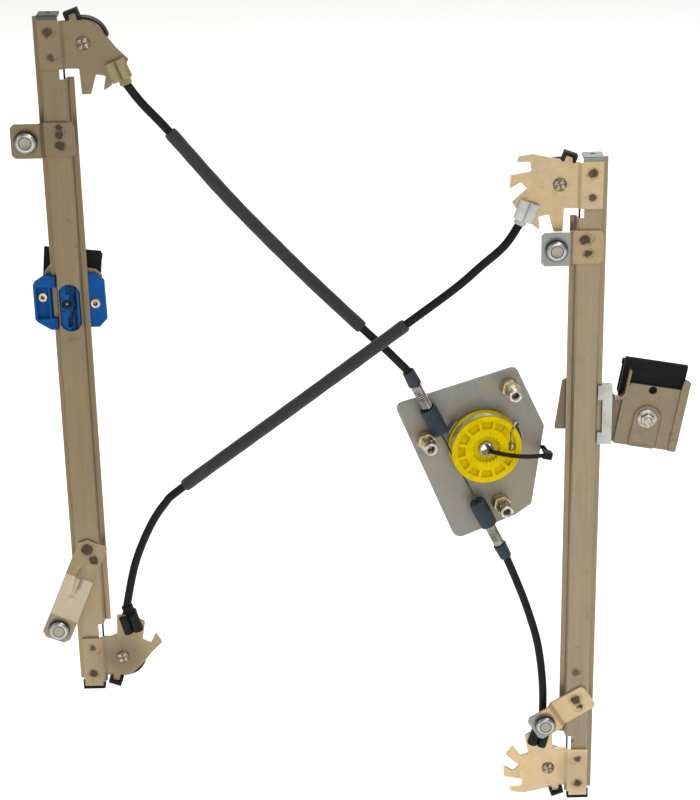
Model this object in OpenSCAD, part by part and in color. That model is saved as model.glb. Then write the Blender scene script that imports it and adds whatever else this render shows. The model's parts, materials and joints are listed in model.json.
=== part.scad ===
// Twin-rail cable window regulator without its motor, seen from the door's inner panel.
// Origin: the upper left mounting stud, where its neck meets the bracket's front face.
// +X runs to the right along the door, +Y away from the inner panel, +Z up the rails.

/* [Rails] */
// Length of each guide rail
rail_len = 508; // [500:1:520]
// Distance between the centre lines of the two rails
rail_spacing = 366; // [360:1:372]
// How far the right rail sits below the left one
rail_drop = 105; // [100:1:110]
// Sheet thickness of the rails
rail_t = 1.2; // [1:0.1:1.5]
// Depth of the rail's hat section
rail_depth = 9.5; // [9:0.5:10]

/* [Cable] */
// Diameter of the steel cable
cable_d = 1.5; // [1.2:0.1:1.6]
// Outer diameter of the cable conduit
conduit_d = 6; // [5:0.5:6.5]
// Outer diameter of the foam sleeves
sleeve_d = 9.4; // [8.6:0.2:9.8]
// Radius of the cable's centre line on the pulleys
pulley_cable_r = 14.7; // [14.5:0.1:14.8]
// Outer radius of the pulleys
pulley_r = 15.9; // [15.8:0.1:16]
// Radius of the cable's centre line on the drum
drum_cable_r = 24; // [23.5:0.5:24]
// Outer radius of the drum
drum_r = 26; // [25.5:0.5:26.5]

/* [Motor plate] */
// Angle by which the loose motor plate is turned about the vertical
plate_turn = 10; // [0:1:18]
// Thickness of the motor plate
plate_t = 2.5; // [2:0.5:3]
// Length of the threaded standoffs
standoff_len = 22; // [18:1:26]

/* [Carriers] */
// Height of the left slider block
slider_h = 40; // [38:1:42]
// Width of the left slider over both wings
slider_w = 50; // [48:1:50]
// Gap that takes the door glass
glass_gap = 4.4; // [4.2:0.1:5]
// Tilt of the right glass clamp
right_tilt = 10; // [8:1:11]
// Tilt of the left glass clamp
left_tilt = 6; // [4:1:8]

/* [Hidden] */
$fn = 48;

// Colours of the finishes
zinc_yellow = "#a08a68";
zinc_grey = "#b3ada6";
chrome = "#d9dbe0";
black = "#202422";
white = "#dfe5df";
blue = "#1c58a8";
yellow = "#f2d500";
slate = "#3f4a56";
foam = "#5f6468";

// Rail section, measured back from the web's front face
rail_x = 21;
rail_top = 83;
web_y = 6.5;
web_half = 8.2;
slot_half = 7.8;
foot_half = 9.3;
flange_half = 12.9;
flange_y = web_y + rail_depth - rail_t;
cut_x = 4;
cut_top = 42;
cut_low = 50;

// Pulley corners: the axle's place from the rail's centre line and end
axle_x = pulley_cable_r + 6.6;
drop_top = 17.5;
drop_low = 22;
sheet = 2;
step_y = web_y - sheet;
wing_y = 7;
pulley_mid = 13;
pulley_w = 6;
axle_r = 4;
fit_angle_top = 21;
fit_angle_low = -15;
fit_centre = 25.5;
fit_len = 14;
fit_collar = 5;

// How far a conduit reaches into its seat, and the seat's depth and radius
seat_in = 4;
seat_deep = 4.2;
seat_r = conduit_d / 2 + 0.35;

// Motor plate: the drum's axis on the plate's front face
motor_at = [314, 24, -239];
line_angle = -64.6;
line_y = -8.5;
drum_front = -16;
drum_back = -2.5;
bush_r = 4.2;
bush_back = -10.8;
cap_top = [26.5, 49];
cap_low = [-37, -59];
spring_len = 21;
collar_len = 12;

// Carriers at rest: the height of each cable anchor
left_z = -121;
right_z = -216;
shoe_gap = 0.4;
clamp_left_at = [20, left_z];
clamp_right_at = [433.5, -219.5];

// Outline of a pulley bracket's wing, from the axle, with corner radii
wing_left = [[-11, 15.5, 0], [-9.2, 15.5, 0], [-8.5, 20.5, 1], [-3.5, 20.5, 1], [-3, 15.8, 0.5],
    [5.5, 15.4, 5], [14, 7.2, 6], [21.7, -3.1, 2], [30, -11.5, 0.7], [25.6, -19.3, 0.7],
    [21.5, -11, 0.7], [15.4, -14, 1], [18, -28.8, 0.7], [12, -33, 0.7], [14, -22.6, 1],
    [7.5, -21.4, 1], [3.4, -35, 1], [-2.8, -35, 1], [-3.6, -17.2, 1], [-11, -17.2, 0]];
wing_right = [[-11, 15.5, 0], [-9.2, 15.5, 0], [-8.5, 20.5, 1], [-3.5, 20.5, 1], [-3, 17, 0.5],
    [19, 22, 4], [28.5, 20.5, 1], [30, 16.6, 0.7], [20.6, 16.6, 0.7], [19.8, 9.6, 1],
    [34, 7, 0.7], [34.6, -2.4, 0.7], [27, 2.2, 0.7], [22.6, -2.8, 0.7], [33, -12.2, 0.7],
    [27.8, -19.8, 0.7], [21.4, -11.2, 0.7], [15.6, -13.2, 1], [18.4, -28.9, 0.7],
    [13.4, -32.8, 0.7], [14.4, -22.8, 1], [7.2, -21.6, 1], [3.8, -34, 1], [-2.6, -34, 1],
    [-3.2, -17.2, 1], [-11, -17.2, 0]];
// Outline of the motor plate, from the drum's axis
plate_outline = [[-65.2, 35, 5], [-50, 38.5, 10], [25, 57, 5], [47.1, 8.5, 4], [38.4, -54, 4],
    [26, -62, 4], [-19.6, -77.5, 7]];
standoff_at = [[19.5, 42.5], [-42.7, 6.5], [14.1, -49]];

// A corner's point: right and low are 0 or 1, and z counts from the rail's end
function rail_cx(right) = rail_x + right * rail_spacing;
function rail_cz(right, low) = rail_top - right * rail_drop - low * rail_len;
function corner(p, y, right, low) =
    [rail_cx(right) + (1 - 2 * right) * p.x, y, rail_cz(right, low) + (1 - 2 * low) * p.y];
function drop(low) = low ? drop_low : drop_top;
function fit_angle(low) = low ? fit_angle_low : fit_angle_top;
function on_fit(low, s) = let (a = fit_angle(low))
    [axle_x, -drop(low)] + pulley_cable_r * [cos(a), sin(a)] + s * [sin(a), -cos(a)];
function fit_exit(right, low) = corner(on_fit(low, fit_centre + fit_len / 2 + fit_collar),
    pulley_mid, right, low);
function fit_seat(right, low) = corner(on_fit(low, fit_centre + fit_len / 2 + fit_collar - seat_in),
    pulley_mid, right, low);

// The straight cable line past the drum: s runs up from the point where it touches
function line_dir() = -[cos(line_angle), sin(line_angle)];
function line_pt(s) = drum_cable_r * [-line_dir().y, line_dir().x] + s * line_dir();
function motor_pt(p, y) = motor_at + [p.x * cos(plate_turn) - y * sin(plate_turn),
    p.x * sin(plate_turn) + y * cos(plate_turn), p.y];
collar_end_top = cap_top[1] + spring_len + collar_len;
collar_end_low = cap_low[1] - spring_len - collar_len + 2;

// Routes of the three conduits, from the pulley fittings to the tensioners
route_a = [fit_exit(0, 0), [79, 14, 22], [97, 15, 1], [137, 14, -48], [184, 11, -99],
    [227, 7, -142], [244, 4, -158], motor_pt(line_pt(collar_end_top), line_y)];
route_b = [fit_exit(1, 0), [328, 10, -84], [311, 4, -97], [293, -1, -111], [258, -5, -136],
    [177, -2, -198], [96, 2, -260], [80, 5, -276], [67, 9, -298], [55, 12, -328],
    fit_exit(0, 1)];
route_c = [motor_pt(line_pt(collar_end_low), line_y), [340, 21, -351], [349, 20, -376],
    [357, 18, -405], [361, 15, -438], fit_exit(1, 1)];

// Vector helpers
function unit(v) = v / norm(v);
function soften(a, b, c, r) = let (
        u = unit([a.x, a.y] - [b.x, b.y]),
        v = unit([c.x, c.y] - [b.x, b.y]),
        half = acos(u * v) / 2,
        m = [b.x, b.y] + unit(u + v) * r / sin(half),
        p = [b.x, b.y] + u * r / tan(half) - m,
        side = sign(u.x * v.y - u.y * v.x),
        sweep = -side * (180 - 2 * half),
        start = atan2(p.y, p.x)
    ) [for (i = [0:5]) m + r * [cos(start + sweep * i / 5), sin(start + sweep * i / 5)]];
function rounded(p) = [for (i = [0:len(p) - 1]) let (
        a = p[(i + len(p) - 1) % len(p)], b = p[i], c = p[(i + 1) % len(p)],
        r = len(b) > 2 ? b[2] : 0
    ) each r > 0 ? soften(a, b, c, r) : [[b.x, b.y]]];
function ring_arc(r, a0, a1, n = 24) =
    [for (i = [0:n]) r * [cos(a0 + (a1 - a0) * i / n), sin(a0 + (a1 - a0) * i / n)]];

// Smooth curve through a route's points, with n steps per stretch
function spline(p, i, t) = let (
        q = [for (k = [-1:2]) p[min(max(i + k, 0), len(p) - 1)]]
    ) 0.5 * (2 * q[1] + (q[2] - q[0]) * t + (2 * q[0] - 5 * q[1] + 4 * q[2] - q[3]) * t * t
        + (3 * q[1] - q[0] - 3 * q[2] + q[3]) * t * t * t);
function smooth(p, n) = concat([for (i = [0:len(p) - 2]) for (k = [0:n - 1]) spline(p, i, k / n)],
    [p[len(p) - 1]]);
function tangent(c, i) = unit(c[min(i + 1, len(c) - 1)] - c[max(i - 1, 0)]);

// A slab whose front face lies at y, cut from an outline in X and Z
module slab(y, t) {
    translate([0, y + t, 0]) rotate([90, 0, 0]) linear_extrude(t) children();
}

// A round bar along Y
module rod(r, y0, y1, fn = 48) {
    translate([0, y1, 0]) rotate([90, 0, 0]) cylinder(r = r, h = y1 - y0, $fn = fn);
}

// A turned shape about Y: points are radius and y
module turned(points) {
    mirror([0, 1, 0]) rotate([90, 0, 0]) rotate_extrude($fn = 64) polygon(points);
}

// A round bar between two points
module bar(p, q, r) {
    d = q - p;
    translate(p) rotate([0, acos(d.z / norm(d)), atan2(d.y, d.x)]) cylinder(r = r, h = norm(d));
}

// A box from its lower and upper corners
module block(a, b) {
    translate(a) cube(b - a);
}

// A tube swept along a curve: hollow where an inner radius is given
module sweep(curve, r, sides, inner = 0) {
    n = len(curve);
    radii = inner > 0 ? [r, inner] : [r];
    loops = len(radii);
    points = [for (i = [0:n - 1]) let (
            t = tangent(curve, i),
            u = unit(cross(t, [0, 1, 0])),
            v = cross(t, u)
        ) for (k = radii) for (j = [0:sides - 1])
            curve[i] + k * (cos(360 * j / sides) * u + sin(360 * j / sides) * v)];
    function at(i, l, j) = (i * loops + l) * sides + j % sides;
    outer = [for (i = [0:n - 2]) for (j = [0:sides - 1])
        [at(i, 0, j), at(i, 0, j + 1), at(i + 1, 0, j + 1), at(i + 1, 0, j)]];
    lining = loops < 2 ? [] : [for (i = [0:n - 2]) for (j = [0:sides - 1])
        [at(i, 1, j), at(i + 1, 1, j), at(i + 1, 1, j + 1), at(i, 1, j + 1)]];
    ends = loops < 2
        ? [[for (j = [0:sides - 1]) at(0, 0, sides - 1 - j)], [for (j = [0:sides - 1]) at(n - 1, 0, j)]]
        : [for (j = [0:sides - 1]) each [
            [at(0, 0, j), at(0, 1, j), at(0, 1, j + 1), at(0, 0, j + 1)],
            [at(n - 1, 0, j), at(n - 1, 0, j + 1), at(n - 1, 1, j + 1), at(n - 1, 1, j)]]];
    polyhedron(points = points, faces = concat(outer, lining, ends));
}

// Places children at a rail's end, x towards the other rail and z out of the end
module at_corner(right, low) {
    translate([rail_cx(right), 0, rail_cz(right, low)])
        mirror([right, 0, 0]) mirror([0, 0, low]) children();
}

// Places children on the pulley axle of a corner
module at_axle(right, low) {
    at_corner(right, low) translate([axle_x, 0, -drop(low)]) children();
}

// Places children on the motor plate, turned with it
module on_motor() {
    translate(motor_at) rotate([0, 0, plate_turn]) children();
}

// Places children on the cable's line past the drum, with +Z along it
module on_line(s) {
    p = line_pt(s);
    translate([p.x, line_y, p.y]) rotate([0, -90 - line_angle, 0]) children();
}

module rail_section() {
    y0 = web_y;
    y1 = web_y + rail_t;
    y2 = flange_y;
    y3 = flange_y + rail_t;
    inner = foot_half - rail_t + 0.2;
    polygon(rounded([[-flange_half, y2, 0], [-foot_half, y2, 0.8], [-web_half, y0, 2],
        [web_half, y0, 2], [foot_half, y2, 0.8], [flange_half, y2, 0], [flange_half, y3, 0],
        [inner, y3, 1.6], [web_half - rail_t + 0.1, y1, 0.8],
        [rail_t - web_half - 0.1, y1, 0.8], [-inner, y3, 1.6], [-flange_half, y3, 0]]));
}

// A rail, with its inner side cut back at both ends for the pulleys
module rail(right) {
    side = 1 - 2 * right;
    depth = 40;
    translate([rail_cx(right), 0, 0]) difference() {
        translate([0, 0, rail_cz(right, 1)]) linear_extrude(rail_len) rail_section();
        for (low = [0, 1])
            translate([side > 0 ? cut_x : -depth, 0, rail_cz(right, low) - (low ? 1 : cut_top)])
                cube([depth - (side > 0 ? 0 : cut_x), depth, (low ? cut_low : cut_top) + 1]);
    }
}

module rail_left() {
    color(zinc_yellow) difference() {
        rail(0);
        slab(web_y - 1, rail_t + 2) translate([rail_x, left_z - 2]) for (z = [-9.7, 9.7])
            translate([0, z]) circle(r = slot_half);
        block([rail_x - slot_half, web_y - 1, left_z - 11.7],
            [rail_x + slot_half, web_y + rail_t + 1, left_z + 7.7]);
    }
}

module rail_right() {
    color(zinc_yellow) rail(1);
}

// The pulley bracket: a seat on the rail's web, a step back and the pulley's wing
module pulley_bracket(right, low) {
    reach = drop(low) + 17.2;
    seat = [[-8.7, step_y], [6.4, step_y], [8.9, wing_y], [11, wing_y], [11, wing_y + sheet],
        [8, wing_y + sheet], [5.5, web_y], [-8.7, web_y]];
    color(zinc_yellow) at_corner(right, low) difference() {
        union() {
            translate([0, 0, -reach]) linear_extrude(reach - 2) polygon(seat);
            translate([axle_x, 0, -drop(low)]) slab(wing_y, sheet)
                polygon(rounded(right ? wing_right : wing_left));
            // The tab bent back over the rail's end
            translate([-8.7, 0, 0]) rotate([90, 0, 90]) linear_extrude(14) polygon(rounded(
                [[step_y, -3, 0], [web_y, -3, 0], [web_y, 0.4, 0], [19, 0.4, 0], [19, 2.4, 0],
                [step_y, 2.4, 2]]));
        }
        translate([-1.7, 14, -1]) cylinder(r = 1.6, h = 5);
        // Spot welds and the axle's hole
        for (p = [[0.5, -9], [2, -reach + 10]])
            translate([p.x, 0, p.y]) rod(3.2, step_y - 1, step_y + 0.4);
        translate([axle_x, 0, -drop(low)]) rod(axle_r + 0.05, wing_y - 1, wing_y + sheet + 1);
        fitting_place(low) block([-5.1, wing_y - 1, -4.6], [5.1, wing_y + sheet + 1, 4.6]);
        // Room for the guard's clip
        translate([axle_x, 0, -drop(low)]) block([-12.9, 0, 15.6], [-9.4, 12, 30]);
    }
}

module pulley_bracket_upper_left() { pulley_bracket(0, 0); }
module pulley_bracket_lower_left() { pulley_bracket(0, 1); }
module pulley_bracket_upper_right() { pulley_bracket(1, 0); }
module pulley_bracket_lower_right() { pulley_bracket(1, 1); }

// Places children at a conduit fitting, with -Z along the cable as it leaves the pulley
module fitting_place(low) {
    p = on_fit(low, fit_centre);
    translate([p.x, 0, p.y]) rotate([0, -fit_angle(low), 0]) children();
}

// The plastic end fitting: two lobes before the wing, a neck through it and the conduit's seat
module end_fitting(right, low) {
    half = fit_len / 2;
    back = wing_y + sheet + 0.1;
    color(low ? black : white) at_corner(right, low) fitting_place(low) difference() {
        union() {
            for (x = [-3.6, 3.6]) intersection() {
                translate([x, 6, -half]) cylinder(r = 3.7, h = fit_len);
                block([-9, 0, -half], [9, wing_y - 0.1, half]);
            }
            block([-4.9, wing_y - 1.2, -4.4], [4.9, back + 1, 4.4]);
            intersection() {
                union() {
                    translate([0, pulley_mid, -half]) cylinder(r = 5.6, h = fit_len);
                    translate([0, pulley_mid, -half - fit_collar]) cylinder(r = 4.3, h = fit_collar + 1);
                    block([-5.6, back, -half], [5.6, pulley_mid, half]);
                }
                block([-9, back, -30], [9, 30, 30]);
            }
        }
        translate([0, pulley_mid, -half - fit_collar]) {
            translate([0, 0, -1]) cylinder(r = cable_d / 2 + 0.3, h = 40);
            translate([0, 0, -1]) cylinder(r = seat_r, h = seat_deep + 1);
        }
    }
}

module end_fitting_upper_left() { end_fitting(0, 0); }
module end_fitting_lower_left() { end_fitting(0, 1); }
module end_fitting_upper_right() { end_fitting(1, 0); }
module end_fitting_lower_right() { end_fitting(1, 1); }

// A grooved pulley running on its axle
module pulley(right, low) {
    y0 = pulley_mid - pulley_w / 2;
    y1 = pulley_mid + pulley_w / 2;
    root = pulley_cable_r - cable_d / 2 - 0.1;
    color("#d8d3c4") at_axle(right, low) turned([[axle_r + 0.08, y0 - 0.4], [7, y0 - 0.4],
        [7, y0 + 0.8], [12, y0 + 0.8], [12.6, y0], [pulley_r, y0], [root, pulley_mid - 0.7],
        [root, pulley_mid + 0.7], [pulley_r, y1], [12.6, y1], [12, y1 - 0.8], [7, y1 - 0.8],
        [7, y1 + 0.4], [axle_r + 0.08, y1 + 0.4]]);
}

module pulley_upper_left() { pulley(0, 0); }
module pulley_lower_left() { pulley(0, 1); }
module pulley_upper_right() { pulley(1, 0); }
module pulley_lower_right() { pulley(1, 1); }

// Four riveted axles with staked heads and a broad tail behind each pulley
module pulley_axles() {
    tail = pulley_mid + pulley_w / 2 + 0.7;
    color(chrome) for (right = [0, 1]) for (low = [0, 1]) at_axle(right, low) difference() {
        union() {
            rod(axle_r, wing_y - 0.5, tail + 1);
            turned([[0, wing_y - 1.8], [3.4, wing_y - 1.8], [4.7, wing_y - 1], [4.7, wing_y - 0.05],
                [0, wing_y - 0.05]]);
            rod(6.4, tail, tail + 1.3);
        }
        for (a = [20, 110]) rotate([0, a, 0])
            block([-0.6, wing_y - 3, -6], [0.6, wing_y - 1.3, 6]);
    }
}

// The plastic guard that keeps the cable in the pulley's groove, clipped on the wing's ear
module cable_guard(right, low) {
    y0 = wing_y + sheet + 0.2;
    y1 = pulley_mid + pulley_w / 2 + 1.9;
    inner = pulley_r + 0.3;
    outer = pulley_r + 1.4;
    color(black) at_axle(right, low) difference() {
        union() {
            slab(y0, y1 - y0) polygon(concat(ring_arc(outer, 12, 178), ring_arc(inner, 178, 12)));
            slab(y1 - 1.1, 1.1) polygon(concat(ring_arc(outer, 12, 178), ring_arc(7.2, 178, 12)));
            translate([-6.1, 0, 18.6]) rotate([0, -20, 0]) difference() {
                block([-4.9, wing_y - 2.6, -2.8], [4.9, y0 + 3, 4.2]);
                block([-3, 0, -5], [3, wing_y, 1.8]);
            }
        }
        block([-9.4, wing_y - 0.15, 8], [-3.3, wing_y + sheet + 0.15, 20.7]);
        block([-3.4, wing_y - 0.15, 8], [12, wing_y + sheet + 0.15, 18.4]);
        block([-20, wing_y - 4, 0], [12, wing_y + sheet + 0.15, 15.9]);
    }
}

module cable_guard_upper_left() { cable_guard(0, 0); }
module cable_guard_lower_left() { cable_guard(0, 1); }
module cable_guard_upper_right() { cable_guard(1, 0); }
module cable_guard_lower_right() { cable_guard(1, 1); }

// Rubber stops on the bent tabs of the lower brackets, with a rim round the tab
module stop_buffers() {
    color(black) for (right = [0, 1]) at_corner(right, 1) difference() {
        union() {
            translate([-5, 0, 0]) rotate([90, 0, 90]) linear_extrude(9.5) polygon(rounded(
                [[8.2, -7, 1], [21.5, -7, 2], [21.5, 4, 2], [8.2, 4, 1]]));
            block([-9.9, 4.9, 0.35], [6.5, 12, 4.2]);
            block([-9.9, 4.9, -3.4], [-8.85, 8, 0.4]);
            block([5.45, 4.9, -1.8], [6.5, 7, 0.4]);
        }
        block([-8.85, 0, -4], [5.45, 6.65, 2.55]);
        block([-8.85, 0, 0.3], [5.45, 19.1, 2.55]);
        translate([-3, 13, -9]) cylinder(r = 1.6, h = 3);
    }
}

// A mounting bracket: collar plate, step and a seat welded on the rail; the stud is at its origin
module collar_bracket(reach, half) {
    outline = [[-10.5, half - 2.5, 0], [-8, half, 0], [reach, half, 3.5],
        [reach, -half, 3.5], [-8, -half, 0], [-10.5, 2.5 - half, 0]];
    difference() {
        intersection() {
            translate([0, 0, -half]) linear_extrude(2 * half) polygon([[-10.5, 0], [9.6, 0],
                [12.2, step_y], [reach, step_y], [reach, web_y], [11.2, web_y], [8.6, sheet],
                [-10.5, sheet]]);
            slab(-1, 9) polygon(rounded(outline));
        }
        rod(3.55, -1, sheet + 1);
        for (z = [-4.5, 6])
            translate([(reach + 12) / 2 + 1, 0, z]) rod(3.2, step_y - 1, step_y + 0.4);
    }
}

stud_ur = [rail_x + rail_spacing - 23.5, 0, -84.5];
stud_lr = [362, 0, -464.5];
lr_turn = -31.7;
arm_at = [26.7, 0, -306];
arm_turn = 114;
arm_step = 12;
arm_stud = 70.5;
stud_ll = arm_at + [arm_stud * cos(arm_turn), step_y - arm_step, -arm_stud * sin(arm_turn)];

module mount_bracket_upper_left() {
    color(zinc_yellow) collar_bracket(32.8, 12);
}

module mount_bracket_upper_right() {
    color(zinc_yellow) translate(stud_ur) collar_bracket(33.5, 12.2);
}

module mount_bracket_lower_right() {
    color(zinc_yellow) translate(stud_lr) rotate([0, lr_turn, 0]) collar_bracket(40, 10.5);
}

// The long arm of the lower left mount, stepping well forward, with a pressed rib
module mount_arm_lower_left() {
    half = 10.7;
    y0 = step_y - arm_step;
    rib_r = 3.7;
    color(zinc_yellow) translate(arm_at) rotate([0, arm_turn, 0]) difference() {
        union() {
            intersection() {
                translate([0, 0, -half]) linear_extrude(2 * half) polygon([[0, step_y],
                    [29.6, step_y], [60.6, y0], [81, y0], [81, y0 + sheet], [61.2, y0 + sheet],
                    [30.2, web_y], [0, web_y]]);
                slab(-20, 40) polygon(rounded([[4.5, -half, 1], [0, 5 - half, 1], [0.5, half, 2],
                    [76.5, half, 1], [80.5, half - 3.5, 1], [81, 4 - half, 1], [77.5, -half, 1]]));
            }
            intersection() {
                bar([20, step_y + rib_r - 0.1, 0.5], [46.1, step_y + rib_r - 6.2, 0.5], rib_r);
                translate([0, 0, -half]) linear_extrude(2 * half) polygon([[17, -20],
                    [49, -20], [49, step_y - 6.5], [29.9, step_y + 1], [17, step_y + 1]]);
            }
        }
        translate([arm_stud, y0, 0]) rod(3.55, -1, sheet + 1);
        for (p = [[7.5, -2.8, 4.2], [13.6, 4.6, 3.2]])
            translate([p.x, 0, p.y]) rod(p[2], step_y - 1, step_y + 0.4);
    }
}

// One headed stud: a neck for the door panel's keyhole under a domed head, riveted behind
module stud() {
    turned([[0, -5.6], [4.4, -5.6], [6.2, -5.2], [7.6, -4], [8, -2.9], [8, -2.4], [4, -2.4],
        [4, 0], [3.5, 0], [3.5, sheet + 0.02], [5.2, sheet + 0.02], [4.4, sheet + 1.1],
        [0, sheet + 1.1]]);
}

module mount_studs() {
    color(chrome) {
        stud();
        translate(stud_ur) stud();
        translate(stud_lr) stud();
        translate(stud_ll) stud();
    }
}

// The loose motor plate with two lips that stand up round the drum
module motor_plate() {
    color(zinc_grey) on_motor() difference() {
        union() {
            slab(0, plate_t) polygon(rounded(plate_outline));
            for (a = [[134, 158], [2, 27]]) slab(-7, 7.5)
                polygon(concat(ring_arc(29.6, a[0], a[1], 6), ring_arc(28, a[1], a[0], 6)));
        }
        rod(9.3, -1, plate_t + 1);
        for (p = standoff_at) translate([p.x, 0, p.y]) rod(4.05, -1, plate_t + 1);
        for (s = [(cap_top[0] + cap_top[1]) / 2, (cap_low[0] + cap_low[1]) / 2])
            on_line(s) block([-2.6, 0, -5.1], [2.6, -line_y + plate_t + 1, 5.1]);
    }
}

// Three hexagonal standoffs that the motor is bolted to
module standoffs() {
    color(chrome) on_motor() for (p = standoff_at) translate([p.x, 0, p.y]) difference() {
        union() {
            rod(6.9, -8, -0.02, 6);
            rod(5.6, -standoff_len + 5, -8, 6);
            rod(4.8, -standoff_len, -standoff_len + 5.1);
            rod(4, -1, plate_t + 0.9);
        }
        rod(2.5, -standoff_len - 1, -4);
    }
}

// The cable drum, with pockets, a driving recess and a slot for the cable's nipple
module drum() {
    root = drum_cable_r - cable_d / 2 - 0.1;
    pockets = 12;
    color(yellow) on_motor() difference() {
        turned([[5.7, drum_front + 3.4], [9.6, drum_front + 3.4], [9.6, drum_front + 0.6],
            [14, drum_front], [drum_r, drum_front], [drum_r, -13.2], [root, -12.6], [root, -4.4],
            [drum_r, -3.8], [drum_r, drum_back], [9, drum_back], [9, plate_t - 0.6],
            [8, plate_t - 0.6], [8, bush_back + 0.1], [5.7, bush_back + 0.1]]);
        for (i = [0:pockets - 1]) if (i != 0) rotate([0, -360 * i / pockets, 0])
            slab(drum_front - 1, 3.6) polygon(rounded([[16.2, -3.2, 0.5], [21.8, -4.5, 0.6],
                [21.8, 4.5, 0.6], [16.2, 3.2, 0.5]]));
        slab(drum_front - 1, 6) polygon(rounded([[16.6, -3.4, 1.2], [21.4, -3.4, 1.2],
            [21.4, 2.4, 0.8], [19.6, 3.4, 0], [19.4, 14, 0], [23, 20, 0], [21.6, 21, 0],
            [17.9, 14.6, 0], [18, 3.4, 0], [16.6, 2.4, 0.8]]));
        // The channel that the nipple's cable runs in
        slab(drum_front - 1, 3.6) polygon(concat(ring_arc(21.8, -38, 48, 14), ring_arc(16.2, 48, -38, 14)));
        for (i = [0:23]) rotate([0, i * 15, 0])
            block([9.2, drum_front - 1, -0.45], [10.6, drum_front + 3.4, 0.45]);
    }
}

module drum_bush() {
    color(zinc_grey) on_motor() turned([[bush_r, drum_front + 1], [5.65, drum_front + 1],
        [5.65, bush_back], [bush_r, bush_back]]);
}

// The turns of cable in the drum's groove, and the nipple in its pocket
module drum_windings() {
    color("#c9c7bf") on_motor() {
        for (y = [-11.9, -10.3, -6.7, -5.1]) translate([0, y, 0]) rotate([90, 0, 0])
            rotate_extrude($fn = 64) translate([drum_cable_r, 0]) circle(r = cable_d / 2, $fn = 16);
        translate([19, drum_front + 2.4, 1.5]) mirror([0, 0, 1]) cylinder(r = 1.5, h = 4);
    }
}

// The bare cable that runs from tensioner to tensioner and touches the drum's groove
module drum_cable_run() {
    color("#8d877c") on_motor() {
        a = line_pt(cap_top[0] + 6);
        b = line_pt(cap_low[0] - 6);
        bar([a.x, line_y, a.y], [b.x, line_y, b.y], cable_d / 2);
    }
}

// A tensioner cap, keyed into the motor plate, that takes the spring and guides the cable
module tensioner_cap(span) {
    up = span[1] > span[0] ? 1 : -1;
    long = abs(span[1] - span[0]);
    color(slate) on_motor() on_line(span[0]) mirror([0, 0, up > 0 ? 0 : 1]) difference() {
        union() {
            cylinder(r1 = 5.4, r2 = 6.3, h = 2.5);
            translate([0, 0, 2.5]) cylinder(r = 6.3, h = long - 2.5);
            translate([-2.4, 4, long / 2 - 4.9]) cube([4.8, -line_y - 4 + plate_t, 9.8]);
        }
        translate([0, 0, -1]) cylinder(r = cable_d / 2 + 0.6, h = long + 2);
        translate([0, 0, 7]) cylinder(r = 4.3, h = long);
    }
}

module tensioner_cap_upper() { tensioner_cap(cap_top); }
module tensioner_cap_lower() { tensioner_cap(cap_low); }

// The two compression springs, each as a stack of its turns round the conduit's inner tube
module tensioner_springs() {
    turns = 11;
    wire = 0.55;
    color(chrome) on_motor() for (low = [0, 1]) {
        from = low ? cap_low[1] : cap_top[1];
        pitch = (spring_len - 1.4 - 2 * low) / (turns - 1);
        on_line(from) mirror([0, 0, low]) for (i = [0:turns - 1])
            translate([0, 0, 0.7 + pitch * i])
                rotate_extrude($fn = 32) translate([3.4, 0]) circle(r = wire, $fn = 12);
    }
}

// The collars beyond the springs: a seat for the conduit, and the inner tube that bears the spring
module tensioner_collars() {
    color(slate) on_motor() for (low = [0, 1]) {
        span = spring_len - 2 * low;
        from = low ? cap_low[1] - span : cap_top[1] + span;
        on_line(from) mirror([0, 0, low]) difference() {
            union() {
                cylinder(r1 = 5, r2 = 4.4, h = collar_len);
                translate([0, 0, -span - 5]) cylinder(r = 2.3, h = span + 6);
            }
            translate([0, 0, -span - 6]) cylinder(r = cable_d / 2 + 0.4, h = collar_len + span + 8);
            translate([0, 0, collar_len - seat_deep]) cylinder(r = seat_r, h = seat_deep + 1);
        }
    }
}

// A curve with one more point before it and one behind it, inside the parts that hold the conduit
function held(a, curve, b) = concat([a], curve, [b]);

module conduit_upper_left() {
    color(black) sweep(held(fit_seat(0, 0), smooth(route_a, 5),
        motor_pt(line_pt(collar_end_top - seat_in), line_y)), conduit_d / 2, 10);
}

module conduit_cross() {
    color(black) sweep(held(fit_seat(1, 0), smooth(route_b, 4), fit_seat(0, 1)),
        conduit_d / 2, 10);
}

module conduit_lower_right() {
    color(black) sweep(held(motor_pt(line_pt(collar_end_low + seat_in), line_y),
        smooth(route_c, 5), fit_seat(1, 1)), conduit_d / 2, 10);
}

module sleeve_upper_left() {
    curve = smooth(route_a, 5);
    color(foam) sweep([for (i = [10:25]) curve[i]], sleeve_d / 2, 10, conduit_d / 2 + 0.3);
}

module sleeve_cross() {
    curve = smooth(route_b, 4);
    color(foam) sweep([for (i = [16:24]) curve[i]], sleeve_d / 2, 10, conduit_d / 2 + 0.3);
}

// The transport tie that holds the drum on the plate until the motor is fitted
module transit_tie() {
    path = concat(smooth([[2.2, -16.4], [3.6, -18.4], [14, -20.9], [28, -19.9], [41, -14.5],
        [48.6, -9], [49.9, -6]], 4), [[49.9, 4.8], [2.2, 4.8]]);
    half = 1.5;
    n = len(path);
    normals = [for (i = [0:n - 1]) let (
            t = unit(path[(i + 1) % n] - path[(i + n - 1) % n])
        ) [t.y, -t.x]];
    color(black) on_motor() rotate([0, 13, 0]) {
        translate([0, 0, -half]) linear_extrude(2 * half) difference() {
            polygon([for (i = [0:n - 1]) path[i] + 0.6 * normals[i]]);
            polygon([for (i = [0:n - 1]) path[i] - 0.6 * normals[i]]);
        }
        difference() {
            block([44.5, -13.4, -2.6], [51.4, -6.6, 2.6]);
            translate([0, 0, -half - 0.05]) linear_extrude(2 * half + 0.1)
                polygon([for (i = [0:n - 1]) path[i] + 0.65 * normals[i]]);
        }
    }
}

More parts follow.
